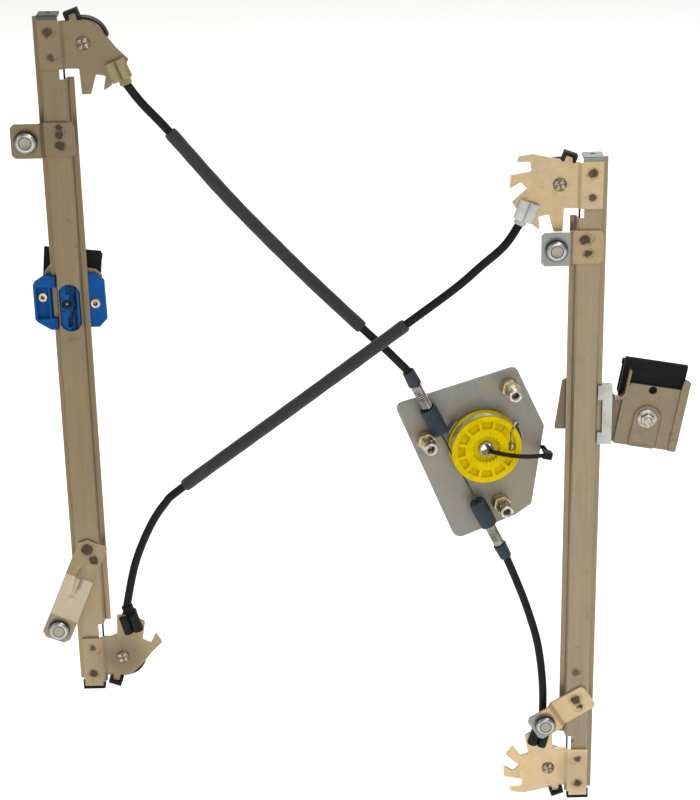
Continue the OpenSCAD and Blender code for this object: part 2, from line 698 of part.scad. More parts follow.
// The two straight runs of cable in the rails
module rail_cables() {
    color("#8d877c") for (right = [0, 1]) {
        a = corner([axle_x - pulley_cable_r, -drop(0)], pulley_mid, right, 0);
        b = corner([axle_x - pulley_cable_r, -drop(1)], pulley_mid, right, 1);
        bar(a, b, cable_d / 2);
    }
}

slider_y = flange_y + rail_t + shoe_gap;
slider_back = slider_y + 3.8;
slider_front = web_y + rail_t + 0.5;

// The left slider: a block in the rail, a back plate with two wings and hooks on the left flange
module slider_left() {
    half = slider_h / 2;
    wing = slider_w / 2;
    hook_y = flange_y - 0.4 - 2.6;
    color(blue) translate([rail_x, 0, left_z]) difference() {
        union() {
            slab(slider_y, 3.8) polygon([[-wing - 1, 16 - half + 2], [-wing - 1, half - 6],
                [-wing + 8, half], [wing - 7, half], [wing - 1, half - 5.5], [wing - 0.4, 6 - half],
                [wing - 6, -half], [-wing + 10, -half], [-wing + 0.5, 6 - half]]);
            block([-6.8, slider_front, -half - 1.6], [4.75, slider_y + 1, half - 1]);
            block([-6.8, slider_front, -half - 1.6], [6.7, 11.6, half - 1]);
            // Frame of the left wing with the two hooks before the flange
            difference() {
                slab(hook_y, slider_y - hook_y + 1) polygon([[-wing - 1, 8 - half], [-wing - 1, half - 6],
                    [-wing + 8, half], [-9.9, half], [-9.9, -half], [-wing + 10, -half],
                    [-wing + 0.5, 6 - half]]);
                block([-wing + 1, hook_y - 1, -half + 8], [-15.6, slider_y - 0.4, half - 8]);
                block([-14, hook_y - 1, -half + 8.5], [-9, slider_y, half - 8.5]);
                block([-flange_half - 0.4, flange_y - 0.4, -half - 1], [0, slider_y, half + 1]);
            }
        }
        // Boss recess with two pressed arcs, the cables' groove and the nipple's pocket
        translate([-2.4, 0, 0]) rod(3.6, web_y, slider_front + 1.9);
        for (a = [115, 205]) translate([-2.4, 0, 0]) slab(web_y, slider_front + 0.7 - web_y)
            polygon(concat(ring_arc(6, a, a + 50, 6), ring_arc(5.2, a + 50, a, 6)));
        block([-0.4, web_y, -half - 2], [4.75, slider_front + 2.2, half]);
        block([-2.8, web_y, 7.5], [0, slider_front + 2.2, half]);
        block([2.9, web_y, -half - 2], [4.75, slider_front + 5.4, 9]);
        block([-2.2, web_y, -17], [1.2, slider_front + 2.6, -9]);
        translate([-2.4, 0, 0]) rod(2.55, web_y, 40);
        for (p = [[-20, 3.5], [17, -2]]) translate([p.x, 0, p.y]) rod(2.55, 0, 40);
    }
}

// Two tubular rivets that hold the slider on its clamp plate
module slider_rivets_left() {
    color(chrome) translate([rail_x, 0, left_z]) for (p = [[-20, 3.5], [17, -2]])
        translate([p.x, 0, p.y]) {
            front = p.x < 0 ? slider_y - 0.45 : slider_y - 0.05;
            turned([[1.2, front - 1.2], [3.2, front - 1.2], [3.9, front], [2.5, front],
                [2.5, clamp_y + sheet + 0.05], [3.6, clamp_y + sheet + 0.05],
                [3.2, clamp_y + sheet + 0.9], [1.2, clamp_y + sheet + 0.9]]);
        }
}

clamp_y = slider_back + 0.05;
glass_y0 = clamp_y + sheet + 2.2;
glass_y1 = glass_y0 + glass_gap;
rear_y = glass_y1 + 2.2;

// The left clamp: front plate behind the slider, and a rear plate beyond the glass
module at_clamp_left() {
    translate([clamp_left_at.x, 0, clamp_left_at.y]) rotate([0, left_tilt, 0]) children();
}

module clamp_front_left() {
    color(zinc_yellow) difference() {
        at_clamp_left() slab(clamp_y, sheet) polygon(rounded([[-19, -17, 3], [-19.5, 19, 3],
            [-15, 26, 3], [17, 24, 3], [21.5, 20, 2], [21.5, -17, 3]]));
        translate([rail_x, 0, left_z]) {
            for (p = [[-20, 3.5], [17, -2]]) translate([p.x, 0, p.y]) rod(2.55, 0, 40);
            translate([-2.4, 0, 0]) rod(2.55, 0, 40);
        }
    }
}

module clamp_rear_left() {
    color(zinc_yellow) difference() {
        at_clamp_left() slab(rear_y, sheet) polygon(rounded([[-19, -14, 4], [-19, 29, 2],
            [19, 29, 2], [19, -14, 4]]));
        translate([rail_x - 2.4, 0, left_z]) rod(2.55, 0, 40);
    }
}

// A rubber liner in U shape: a front wall behind the front plate, a rear one hooked on its plate
module clamp_rubber(x0, x1, z0, z1, front, wall, back) {
    top = z1 - 5;
    translate([x0, 0, 0]) rotate([90, 0, 90]) linear_extrude(x1 - x0) polygon([
        [front + sheet + 0.1, z0], [back - 0.1, z0], [back - 0.1, top - 2.2],
        [back + sheet + 0.1, top - 2.2], [back + sheet + 0.1, top - 4.5],
        [back + sheet + 1.4, top - 4.5], [back + sheet + 1.4, top], [back - 2.1, top],
        [back - 2.1, z0 + 2.5], [front + sheet + wall, z0 + 2.5], [front + sheet + wall, z1],
        [front + sheet + 0.1, z1]]);
}

module clamp_rubber_left() {
    color(black) at_clamp_left() clamp_rubber(-20.5, 20, 12, 37, clamp_y, 2.1, rear_y);
}

// The black clamp screw, reached through the slot in the rail
module clamp_screw_left() {
    color(black) translate([rail_x - 2.4, 0, left_z]) difference() {
        union() {
            rod(3.3, web_y + rail_t + 0.6, web_y + rail_t + 2.4);
            rod(2.5, web_y + rail_t + 2, rear_y + sheet + 4.4);
            rod(4.6, rear_y + sheet + 0.05, rear_y + sheet + 3.6, 6);
        }
        rod(1.6, web_y, web_y + rail_t + 1.6, 6);
    }
}

// The cable's two ends on the left slider, crossed, the front one over the rear one's nipple
module cable_ends_left() {
    y0 = slider_front + 0.5;
    y1 = slider_front + 1.56;
    color("#8d877c") translate([rail_x, 0, left_z]) {
        bar([-1, y0, 17], [4.1, y0, -18.6], 0.5);
        bar([-0.35, y1, -13.1], [3.9, y1, 18.6], 0.5);
        bar([-0.6, y1, -16.4], [-0.4, y1, -13.2], 0.95);
    }
}

at_right = [rail_x + rail_spacing, 0, right_z];

// Rivets of the right carrier: their places, and the y at which each head starts
right_rivets = [[-9.5, 8, 16.9], [16.2, 18, 14], [16.2, -17.5, 14], [0.6, 6, 9.2]];
carrier_y = slider_y + sheet + 0.1;
shoe_back = carrier_y - 0.05;

module right_rivet_holes() {
    for (p = right_rivets) translate(at_right + [p.x, 0, p.y]) rod(2.55, p[2] - 0.05, 40);
}

// The right carrier's steel plate behind the rail and the clamp
module carrier_plate_right() {
    color(zinc_yellow) difference() {
        translate(at_right) slab(carrier_y, sheet) polygon(rounded([[-20.5, -11.5, 1],
            [-15.5, 26, 2], [-12.5, 27.5, 2], [8, 27.5, 2], [10.5, 23.2, 1], [20, 23.2, 1.5],
            [22, 14, 2], [42, 9, 2],
            [42, -27, 2], [24, -24, 2], [10, -12.5, 2]]));
        right_rivet_holes();
    }
}

// White shoes that run on both flanges of the right rail
module slide_shoes_right() {
    hook_y = flange_y - 0.4 - 2.6;
    color(white) difference() {
        translate(at_right) {
            difference() {
                block([9.9, hook_y, -21.8], [20.4, shoe_back, 23.7]);
                block([9, hook_y - 1, -12.8], [flange_half + 0.4, flange_y, 12.9]);
                block([8, flange_y - 0.4, -25], [flange_half + 0.4, slider_y, 26]);
            }
            block([-12.6, slider_y, -4], [-5, shoe_back, 20]);
        }
        right_rivet_holes();
    }
}

// The plastic anchor in the right rail that holds the cable
module cable_anchor_right() {
    color(white) difference() {
        translate(at_right) block([-4.7, web_y + rail_t + 0.5, -12], [5.2, shoe_back, 24]);
        right_rivet_holes();
    }
}

module carrier_rivets_right() {
    back = carrier_y + sheet + 0.05;
    color(chrome) for (p = right_rivets) translate(at_right + [p.x, 0, p.y])
        turned([[0, p[2]], [2.5, p[2]], [2.5, back], [3.6, back], [3.2, back + 0.8], [0, back + 0.8]]);
}

module at_clamp_right() {
    translate([clamp_right_at.x, 0, clamp_right_at.y]) rotate([0, right_tilt, 0]) children();
}

right_y = slider_y;
right_wall = 4.1;
right_rear = right_y + sheet + right_wall + glass_gap + 2.3;
pad = 0.9;

// The right clamp's front plate, with its stepped side strip, curled hook and pressed arch
module clamp_front_right() {
    color(zinc_yellow) at_clamp_right() difference() {
        union() {
            slab(right_y, sheet) polygon(rounded([[-20.4, -23, 2], [-20.4, 20, 1], [-16.5, 25, 2],
                [20.5, 25, 0], [20.5, -23, 0]]));
            slab(right_y - 1.5, sheet) polygon(rounded([[20, -23, 0], [20, 25, 0], [21, 34, 1],
                [26, 32, 2], [26, -23, 1]]));
            // The edge bent forward and curled to the left
            slab(right_y - 4, 4 + sheet) polygon(rounded([[-20.4, 37, 0.8], [-18.6, 35.5, 0.4],
                [-18.6, 17, 4], [-21.4, 12.5, 3], [-27, 11.6, 0], [-27, 13.4, 0],
                [-22.4, 14.4, 2.4], [-20.4, 18, 2.6]]));
            // The pressed arch that bears the nut
            slab(right_y - pad, sheet) {
                circle(r = 9.4);
                translate([-9.4, -23]) square([18.8, 23]);
            }
            slab(right_y - pad - 0.7, 2) translate([-8.4, -23]) square([16.8, 1.6]);
        }
        // Groove round the arch
        slab(right_y - 1, 1.5) difference() {
            union() {
                circle(r = 10.6);
                translate([-10.6, -30]) square([21.2, 30]);
            }
            circle(r = 9.4);
            translate([-9.4, -31]) square([18.8, 31]);
        }
        translate([0, 0, 21.7]) rod(3, 0, 40);
        rod(3.2, 0, 40);
    }
}

module clamp_rear_right() {
    color(zinc_yellow) at_clamp_right() difference() {
        slab(right_rear, sheet) polygon(rounded([[-22, -20, 4], [-22, 35, 2], [22, 35, 2],
            [22, -20, 4]]));
        rod(3.05, 0, 40);
    }
}

module clamp_rubber_right() {
    color(black) at_clamp_right()
        clamp_rubber(-24, 22, 14, 43, right_y, right_wall, right_rear);
}

module clamp_stud_right() {
    color(chrome) at_clamp_right() {
        rod(3, right_y - 8, right_rear + sheet);
        rod(6, right_rear + sheet + 0.02, right_rear + sheet + 2);
    }
}

// The flange nut on the clamp's stud
module clamp_nut_right() {
    seat = right_y - pad - 0.02;
    color(chrome) at_clamp_right() difference() {
        union() {
            turned([[3.02, seat], [6.6, seat], [6.6, seat - 0.8], [5, seat - 2], [3.02, seat - 2]]);
            rod(5.2, seat - 6, seat - 1.5, 6);
        }
        rod(3.02, seat - 9, seat + 1);
    }
}

rail_left();
rail_right();
pulley_bracket_upper_left();
pulley_bracket_lower_left();
pulley_bracket_upper_right();
pulley_bracket_lower_right();
mount_bracket_upper_left();
mount_arm_lower_left();
mount_bracket_upper_right();
mount_bracket_lower_right();
mount_studs();
pulley_axles();
pulley_upper_left();
pulley_lower_left();
pulley_upper_right();
pulley_lower_right();
cable_guard_upper_left();
cable_guard_lower_left();
cable_guard_upper_right();
cable_guard_lower_right();
end_fitting_upper_left();
end_fitting_lower_left();
end_fitting_upper_right();
end_fitting_lower_right();
stop_buffers();
motor_plate();
standoffs();
drum();
drum_bush();
drum_windings();
drum_cable_run();
tensioner_cap_upper();
tensioner_cap_lower();
tensioner_springs();
tensioner_collars();
conduit_upper_left();
conduit_cross();
conduit_lower_right();
sleeve_upper_left();
sleeve_cross();
transit_tie();
rail_cables();
slider_left();
slider_rivets_left();
clamp_front_left();
clamp_rear_left();
clamp_rubber_left();
clamp_screw_left();
cable_ends_left();
carrier_plate_right();
slide_shoes_right();
cable_anchor_right();
carrier_rivets_right();
clamp_front_right();
clamp_rear_right();
clamp_rubber_right();
clamp_stud_right();
clamp_nut_right();
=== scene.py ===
"""Finishes and fine pieces for a twin-rail cable window regulator, round its fixed frame.

Lengths in the fields are millimetres, as on the drawing, and become metres in the meshes.
"""

import json
import logging
import math
from dataclasses import dataclass
from enum import Enum
from itertools import pairwise
from typing import Any, Callable, Iterable, Sequence

import bmesh
import bpy
from bmesh.types import BMEdge, BMesh, BMVert
from mathutils import Matrix, Vector

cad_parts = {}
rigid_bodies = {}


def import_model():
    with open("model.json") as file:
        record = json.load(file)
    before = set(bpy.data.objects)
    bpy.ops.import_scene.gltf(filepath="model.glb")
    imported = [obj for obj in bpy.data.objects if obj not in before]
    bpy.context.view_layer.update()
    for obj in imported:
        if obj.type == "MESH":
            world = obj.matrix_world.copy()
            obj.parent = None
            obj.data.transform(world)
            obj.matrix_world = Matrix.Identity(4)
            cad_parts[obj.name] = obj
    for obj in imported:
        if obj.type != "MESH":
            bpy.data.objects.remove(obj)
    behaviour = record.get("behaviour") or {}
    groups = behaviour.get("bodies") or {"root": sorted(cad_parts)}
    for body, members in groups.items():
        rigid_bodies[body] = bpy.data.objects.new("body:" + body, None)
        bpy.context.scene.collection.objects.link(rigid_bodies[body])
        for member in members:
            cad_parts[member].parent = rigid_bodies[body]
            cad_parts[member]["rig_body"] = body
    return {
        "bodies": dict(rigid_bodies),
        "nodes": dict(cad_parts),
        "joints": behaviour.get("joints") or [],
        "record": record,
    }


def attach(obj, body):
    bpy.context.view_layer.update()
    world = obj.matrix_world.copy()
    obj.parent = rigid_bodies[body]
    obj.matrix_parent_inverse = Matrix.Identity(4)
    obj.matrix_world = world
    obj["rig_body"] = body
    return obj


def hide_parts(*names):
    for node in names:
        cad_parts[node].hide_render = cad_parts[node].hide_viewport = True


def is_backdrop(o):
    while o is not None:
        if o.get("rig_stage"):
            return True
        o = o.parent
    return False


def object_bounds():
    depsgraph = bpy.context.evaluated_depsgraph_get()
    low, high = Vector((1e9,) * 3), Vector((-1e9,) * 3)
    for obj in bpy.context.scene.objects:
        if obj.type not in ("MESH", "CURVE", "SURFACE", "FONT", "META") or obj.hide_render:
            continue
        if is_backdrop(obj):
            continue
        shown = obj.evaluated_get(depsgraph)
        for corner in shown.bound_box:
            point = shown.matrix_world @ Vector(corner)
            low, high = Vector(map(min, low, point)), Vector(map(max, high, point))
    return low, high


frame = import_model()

LOG = logging.getLogger("regulator")
MM = 0.001
Colour = tuple[float, float, float]
Point = tuple[float, float, float]
Profile = tuple[tuple[float, float], ...]
BACK: Point = (0, 1, 0)
UP: Point = (0, 0, 1)
TOUCHING = 1e-7
SEAM = 1e-5


# Shader values


class Value:
    """One output of a shader node, with arithmetic that adds Math nodes."""

    def __init__(self, tree: bpy.types.NodeTree, socket: bpy.types.NodeSocket) -> None:
        """Wraps a socket.

        Args:
            tree: The node tree that the socket is in.
            socket: The output that the value stands for.
        """
        self.tree = tree
        self.socket = socket

    def math(self, operation: str, *others: "Value | float") -> "Value":
        """Adds a Math node.

        Args:
            operation: The node's operation.
            others: What follows this value in the node's inputs.

        Returns:
            The node's output.
        """
        return join(self.tree, operation, (self, *others))

    def __add__(self, other: "Value | float") -> "Value":
        """Adds."""
        return self.math("ADD", other)

    __radd__ = __add__

    def __sub__(self, other: "Value | float") -> "Value":
        """Subtracts."""
        return self.math("SUBTRACT", other)

    def __rsub__(self, other: float) -> "Value":
        """Subtracts this from a number."""
        return join(self.tree, "SUBTRACT", (other, self))

    def __mul__(self, other: "Value | float") -> "Value":
        """Multiplies."""
        return self.math("MULTIPLY", other)

    __rmul__ = __mul__


def join(tree: bpy.types.NodeTree, operation: str, feeds: Sequence[Value | float]) -> Value:
    """Adds a Math node on several values.

    Args:
        tree: The node tree.
        operation: The node's operation.
        feeds: Values or numbers for its inputs.

    Returns:
        The node's output.
    """
    made = tree.nodes.new("ShaderNodeMath")
    made.operation = operation
    for socket, feed in zip(made.inputs, feeds):
        if isinstance(feed, Value):
            tree.links.new(feed.socket, socket)
        else:
            socket.default_value = feed
    return Value(tree, made.outputs[0])


class Shader:
    """A material under construction on one Principled shader."""

    MIX_FACTOR, MIX_A, MIX_B, MIX_OUT = 0, 6, 7, 2
    CUT = 0.5 * MM

    def __init__(self, name: str, constants: dict[str, Any]) -> None:
        """Starts the material.

        Args:
            name: The material's name.
            constants: Numbers and colours that are the same all over the surface.
        """
        self.material = bpy.data.materials.new(name)
        self.material.use_nodes = True
        self.tree = self.material.node_tree
        self.surface = self.tree.nodes["Principled BSDF"]
        for key, value in constants.items():
            self.surface.inputs[key].default_value = value
        texture = self.tree.nodes.new("ShaderNodeTexCoord")
        self.place = Value(self.tree, texture.outputs["Object"])

    def node(self, kind: str, feeds: dict[int | str, Any], out: int | str = 0,
             **settings: Any) -> Value:
        """Adds any node other than Math.

        Args:
            kind: The node's type.
            feeds: A value, number or colour for each named or numbered input.
            out: The output that is returned.
            settings: The node's own settings.

        Returns:
            The chosen output.
        """
        made = self.tree.nodes.new(kind)
        for key, value in settings.items():
            setattr(made, key, value)
        for key, feed in feeds.items():
            if isinstance(feed, Value):
                self.tree.links.new(feed.socket, made.inputs[key])
            else:
                made.inputs[key].default_value = feed
        return Value(self.tree, made.outputs[out])

    def stretched(self, scale: Point, turn: Point = (0, 0, 0)) -> Value:
        """Gives Object coordinates turned and stretched."""
        return self.node("ShaderNodeMapping", {"Vector": self.place, "Scale": scale,
                                               "Rotation": turn})

    def noise(self, scale: float, detail: float = 3, rough: float = 0.55, twist: float = 0,
              at: Value | None = None) -> Value:
        """Adds a noise pattern.

        Args:
            scale: Repeats per metre.
            detail: Octaves.
            rough: How much the finer octaves count.
            twist: Distortion.
            at: Coordinates, or the object's own where left out.

        Returns:
            The pattern, from 0 to 1.
        """
        return self.node("ShaderNodeTexNoise", {
            "Vector": at or self.place, "Scale": scale, "Detail": detail,
            "Roughness": rough, "Distortion": twist})

    def cells(self, scale: float) -> Value:
        """Adds the distance to the nearest of a scatter of points."""
        return self.node("ShaderNodeTexVoronoi", {"Vector": self.place, "Scale": scale})

    def step(self, value: Value, low: float, high: float) -> Value:
        """Rises smoothly from 0 at low to 1 at high."""
        return self.node("ShaderNodeMapRange", {0: value, 1: low, 2: high, 3: 0.0, 4: 1.0},
                         interpolation_type="SMOOTHSTEP")

    def mix(self, a: Value | Colour, b: Value | Colour, factor: Value | float) -> Value:
        """Blends two colours.

        Args:
            a: The colour at factor 0.
            b: The colour at factor 1.
            factor: The blend.

        Returns:
            The blended colour.
        """
        plain = {self.MIX_A: a, self.MIX_B: b}
        feeds = {key: c if isinstance(c, Value) else (*c, 1) for key, c in plain.items()}
        return self.node("ShaderNodeMix", {self.MIX_FACTOR: factor, **feeds}, self.MIX_OUT,
                         data_type="RGBA")

    def near(self, spot: Point, radius: float, soft: float,
             ragged: Value | float = 0.0, along: Point | None = None) -> Value:
        """Gives 1 inside a ball round a spot and 0 outside.

        Args:
            spot: The centre in millimetres.
            radius: The ball's radius in millimetres.
            soft: The width of its soft rim in millimetres.
            ragged: What is added to the distance in metres, for an uneven rim.
            along: The direction in which half the ball lies, where only that half counts.

        Returns:
            The mask.
        """
        centre = tuple(c * MM for c in spot)
        reach = self.node("ShaderNodeVectorMath", {0: self.place, 1: centre}, "Value",
                          operation="DISTANCE") + ragged
        ball = 1 - self.step(reach, (radius - soft) * MM, radius * MM)
        if along is None:
            return ball
        ahead = self.node("ShaderNodeVectorMath", {0: self.place, 1: along}, "Value",
                          operation="DOT_PRODUCT") - Vector(centre).dot(Vector(along))
        return ball * self.step(ahead, 0, self.CUT)

    def set(self, **feeds: Value) -> None:
        """Links values to the shader, such as base_color or roughness."""
        for key, feed in feeds.items():
            self.tree.links.new(feed.socket, self.surface.inputs[key.replace("_", " ").title()])

    def bump(self, height: Value, depth: float) -> None:
        """Gives the surface relief.

        Args:
            height: The pattern, from 0 to 1.
            depth: The height of the relief in millimetres.
        """
        self.set(normal=self.node("ShaderNodeBump", {"Height": height, "Distance": depth * MM,
                                                     "Strength": 1.0}))


# Finishes


class Grain(Enum):
    """The way that rolling marks run on a sheet."""

    UPRIGHT = (1.0, 0.6, 0.035)
    LEVEL = (0.035, 0.6, 1.0)
    NONE = (1.0, 1.0, 1.0)


@dataclass(frozen=True)
class Spot:
    """A dark spot weld or a stain on a sheet."""

    at: Point
    radius: float = 3.0
    tone: Colour = (0.06, 0.038, 0.024)


@dataclass(frozen=True)
class Ring:
    """A ball of another tone, or its half along a direction, which shows as a ring or a disc. Many
    of them are painted light, shade or highlights rather than real tints.
    """

    at: Point
    radius: float
    soft: float
    tone: Colour
    along: Point | None = None


@dataclass(frozen=True)
class PlatedSheet:
    """Pressed sheet steel with zinc and a thin passivation that tints it in blotches."""

    name: str
    base: Colour
    gold: Colour
    blush: Colour
    green: Colour
    grain: Grain = Grain.UPRIGHT
    rough: float = 0.42
    spots: tuple[Spot, ...] = ()
    zones: tuple[Ring, ...] = ()
    stain: float = 0.35
    streaks: float = 0.24
    zone_weight: float = 0.9
    grime: Colour = (0.10, 0.075, 0.05)
    scorch: Colour = (0.17, 0.115, 0.072)

    def build(self) -> bpy.types.Material:
        """Makes the material."""
        shader = Shader(self.name, {"Metallic": 0.6, "IOR": 1.45})
        grained = shader.stretched(self.grain.value)
        blotch = shader.noise(26, 4, 0.6, 0.6)
        cloud = shader.noise(61, 3, 0.5, 0.3)
        rolled = shader.noise(620, 3, 0.6, at=grained)
        streak = shader.noise(210, 2, 0.5, at=grained)
        speck = shader.noise(1500, 3, 0.65)
        colour = shader.mix(self.base, self.gold, shader.step(blotch, 0.42, 0.62) * 0.8)
        colour = shader.mix(colour, self.blush, shader.step(cloud, 0.50, 0.70) * self.stain)
        colour = shader.mix(colour, self.green, shader.step(1 - cloud, 0.55, 0.72) * self.stain)
        tone = shader.step(rolled * 0.55 + streak * 0.45, 0.3, 0.7)
        dark = tuple(c * 0.6 for c in self.base)
        colour = shader.mix(colour, dark, (1 - tone) * self.streaks)
        colour = shader.mix(colour, dark, shader.step(speck, 0.55, 0.74) * 0.35)
        bright = tuple(min(1.0, c * 1.5) for c in self.base)
        scratch = shader.step(shader.noise(150, 5, 0.75, 0.2, shader.stretched(
            (1.0, 1.0, 0.09), (0.3, 0.5, 0.2))), 0.655, 0.70)
        colour = shader.mix(colour, bright, scratch * 0.3)
        dirt = shader.step(shader.noise(95, 5, 0.7, 0.4), 0.58, 0.74)
        colour = shader.mix(colour, self.grime, dirt * 0.3)
        # The zones paint real tints, and also painted light and shade that fall on the sheet.
        for zone in self.zones:
            inside = shader.near(zone.at, zone.radius, zone.soft, along=zone.along)
            colour = shader.mix(colour, zone.tone, inside * self.zone_weight)
        burnt = None
        ragged = (shader.noise(330, 3, 0.6) - 0.5) * 0.0045
        for spot in self.spots:
            core = shader.near(spot.at, spot.radius, spot.radius * 0.35, ragged)
            halo = shader.near(spot.at, spot.radius * 1.6, spot.radius * 0.9, ragged)
            uneven = core * (0.45 + 0.9 * shader.noise(1100, 3, 0.65))
            colour = shader.mix(colour, self.scorch, halo * 0.5)
            colour = shader.mix(colour, spot.tone, uneven.math("MINIMUM", 1.0))
            burnt = core if burnt is None else burnt.math("MAXIMUM", core)
        roughness = self.rough - 0.10 * tone + 0.10 * dirt + 0.05 * speck
        if burnt is not None:
            roughness = roughness + 0.16 * burnt
        shader.set(base_color=colour, roughness=roughness)
        shader.bump(rolled * 0.5 + speck * 0.25 + scratch * 0.5, 0.012)
        return shader.material


@dataclass(frozen=True)
class BrightMetal:
    """Turned or drawn steel with a bright coat, handled and a little dull in places."""

    name: str
    base: Colour
    tint: Colour
    rough: float = 0.2
    grit: float = 0.008
    rings: tuple[Ring, ...] = ()

    def build(self) -> bpy.types.Material:
        """Makes the material."""
        shader = Shader(self.name, {"Metallic": 1.0})
        haze = shader.noise(240, 3, 0.6, 0.5)
        fine = shader.noise(2600, 2, 0.6)
        nick = shader.step(shader.noise(700, 4, 0.7), 0.66, 0.72)
        colour = shader.mix(self.base, self.tint, shader.step(haze, 0.38, 0.66))
        # The rings paint highlights and shade into the colour.
        for ring in self.rings:
            colour = shader.mix(colour, ring.tone, shader.near(ring.at, ring.radius, ring.soft))
        colour = shader.mix(colour, tuple(c * 0.3 for c in self.tint), nick * 0.6)
        shader.set(base_color=colour,
                   roughness=self.rough + 0.16 * shader.step(haze, 0.45, 0.75) + 0.08 * fine)
        shader.bump(fine * 0.6 + nick * 0.4, self.grit)
        return shader.material


@dataclass(frozen=True)
class Moulding:
    """Moulded plastic or rubber with flow marks, a fine skin and handling dust."""

    name: str
    base: Colour
    shade: Colour
    dust: Colour = (0.5, 0.48, 0.44)
    dusty: float = 0.12
    rough: float = 0.42
    skin: float = 900
    relief: float = 0.01
    coat: float = 0.0
    glow: float = 0.0
    shine: float = 0.5

    def build(self) -> bpy.types.Material:
        """Makes the material."""
        shader = Shader(self.name, {
            "IOR": 1.5, "Specular IOR Level": self.shine,
            "Coat Weight": self.coat, "Coat Roughness": 0.25,
            "Subsurface Weight": self.glow, "Subsurface Scale": 0.003,
            "Subsurface Radius": (1.0, 0.9, 0.75)})
        flow = shader.noise(70, 3, 0.55, 1.2)
        skin = shader.noise(self.skin, 3, 0.6)
        rub = shader.step(shader.noise(320, 5, 0.72, 0.3), 0.60, 0.76)
        colour = shader.mix(self.base, self.shade, shader.step(flow, 0.36, 0.7))
        colour = shader.mix(colour, self.dust, rub * self.dusty)
        colour = shader.mix(colour, tuple(c * 0.7 for c in self.shade),
                            shader.step(skin, 0.55, 0.8) * 0.3)
        shader.set(base_color=colour,
                   roughness=self.rough + 0.12 * shader.step(flow, 0.3, 0.7) + 0.14 * rub)
        shader.bump(skin * 0.8 + rub * 0.2, self.relief)
        return shader.material


@dataclass(frozen=True)
class Flock:
    """The grey foam and fibre sleeve over a conduit."""

    name: str
    base: Colour
    shade: Colour

    def build(self) -> bpy.types.Material:
        """Makes the material."""
        shader = Shader(self.name, {"Sheen Weight": 0.12, "Sheen Roughness": 0.6})
        fibre = shader.noise(1900, 4, 0.7, 0.8)
        pore = shader.cells(1400)
        worn = shader.noise(55, 3, 0.55, 0.5)
        colour = shader.mix(self.base, self.shade, shader.step(fibre, 0.35, 0.68))
        colour = shader.mix(colour, tuple(c * 1.5 for c in self.base),
                            shader.step(worn, 0.5, 0.72) * 0.5)
        colour = shader.mix(colour, tuple(c * 0.4 for c in self.shade),
                            (1 - shader.step(pore, 0.1, 0.34)) * 0.6)
        shader.set(base_color=colour, roughness=0.8 + 0.15 * fibre)
        shader.bump(fibre * 0.6 + pore * 0.4, 0.09)
        return shader.material


GOLD_SHEET = {"base": (0.30, 0.232, 0.138), "gold": (0.335, 0.24, 0.122),
              "blush": (0.345, 0.24, 0.165), "green": (0.25, 0.24, 0.145)}
RAIL_SHEET = {"base": (0.285, 0.23, 0.152), "gold": (0.31, 0.235, 0.14),
              "blush": (0.33, 0.235, 0.175), "green": (0.225, 0.218, 0.155)}
GREY_SHEET = {"base": (0.30, 0.285, 0.235), "gold": (0.34, 0.30, 0.215),
              "blush": (0.34, 0.285, 0.225), "green": (0.25, 0.27, 0.26)}
SILVER: Colour = (0.27, 0.30, 0.31)


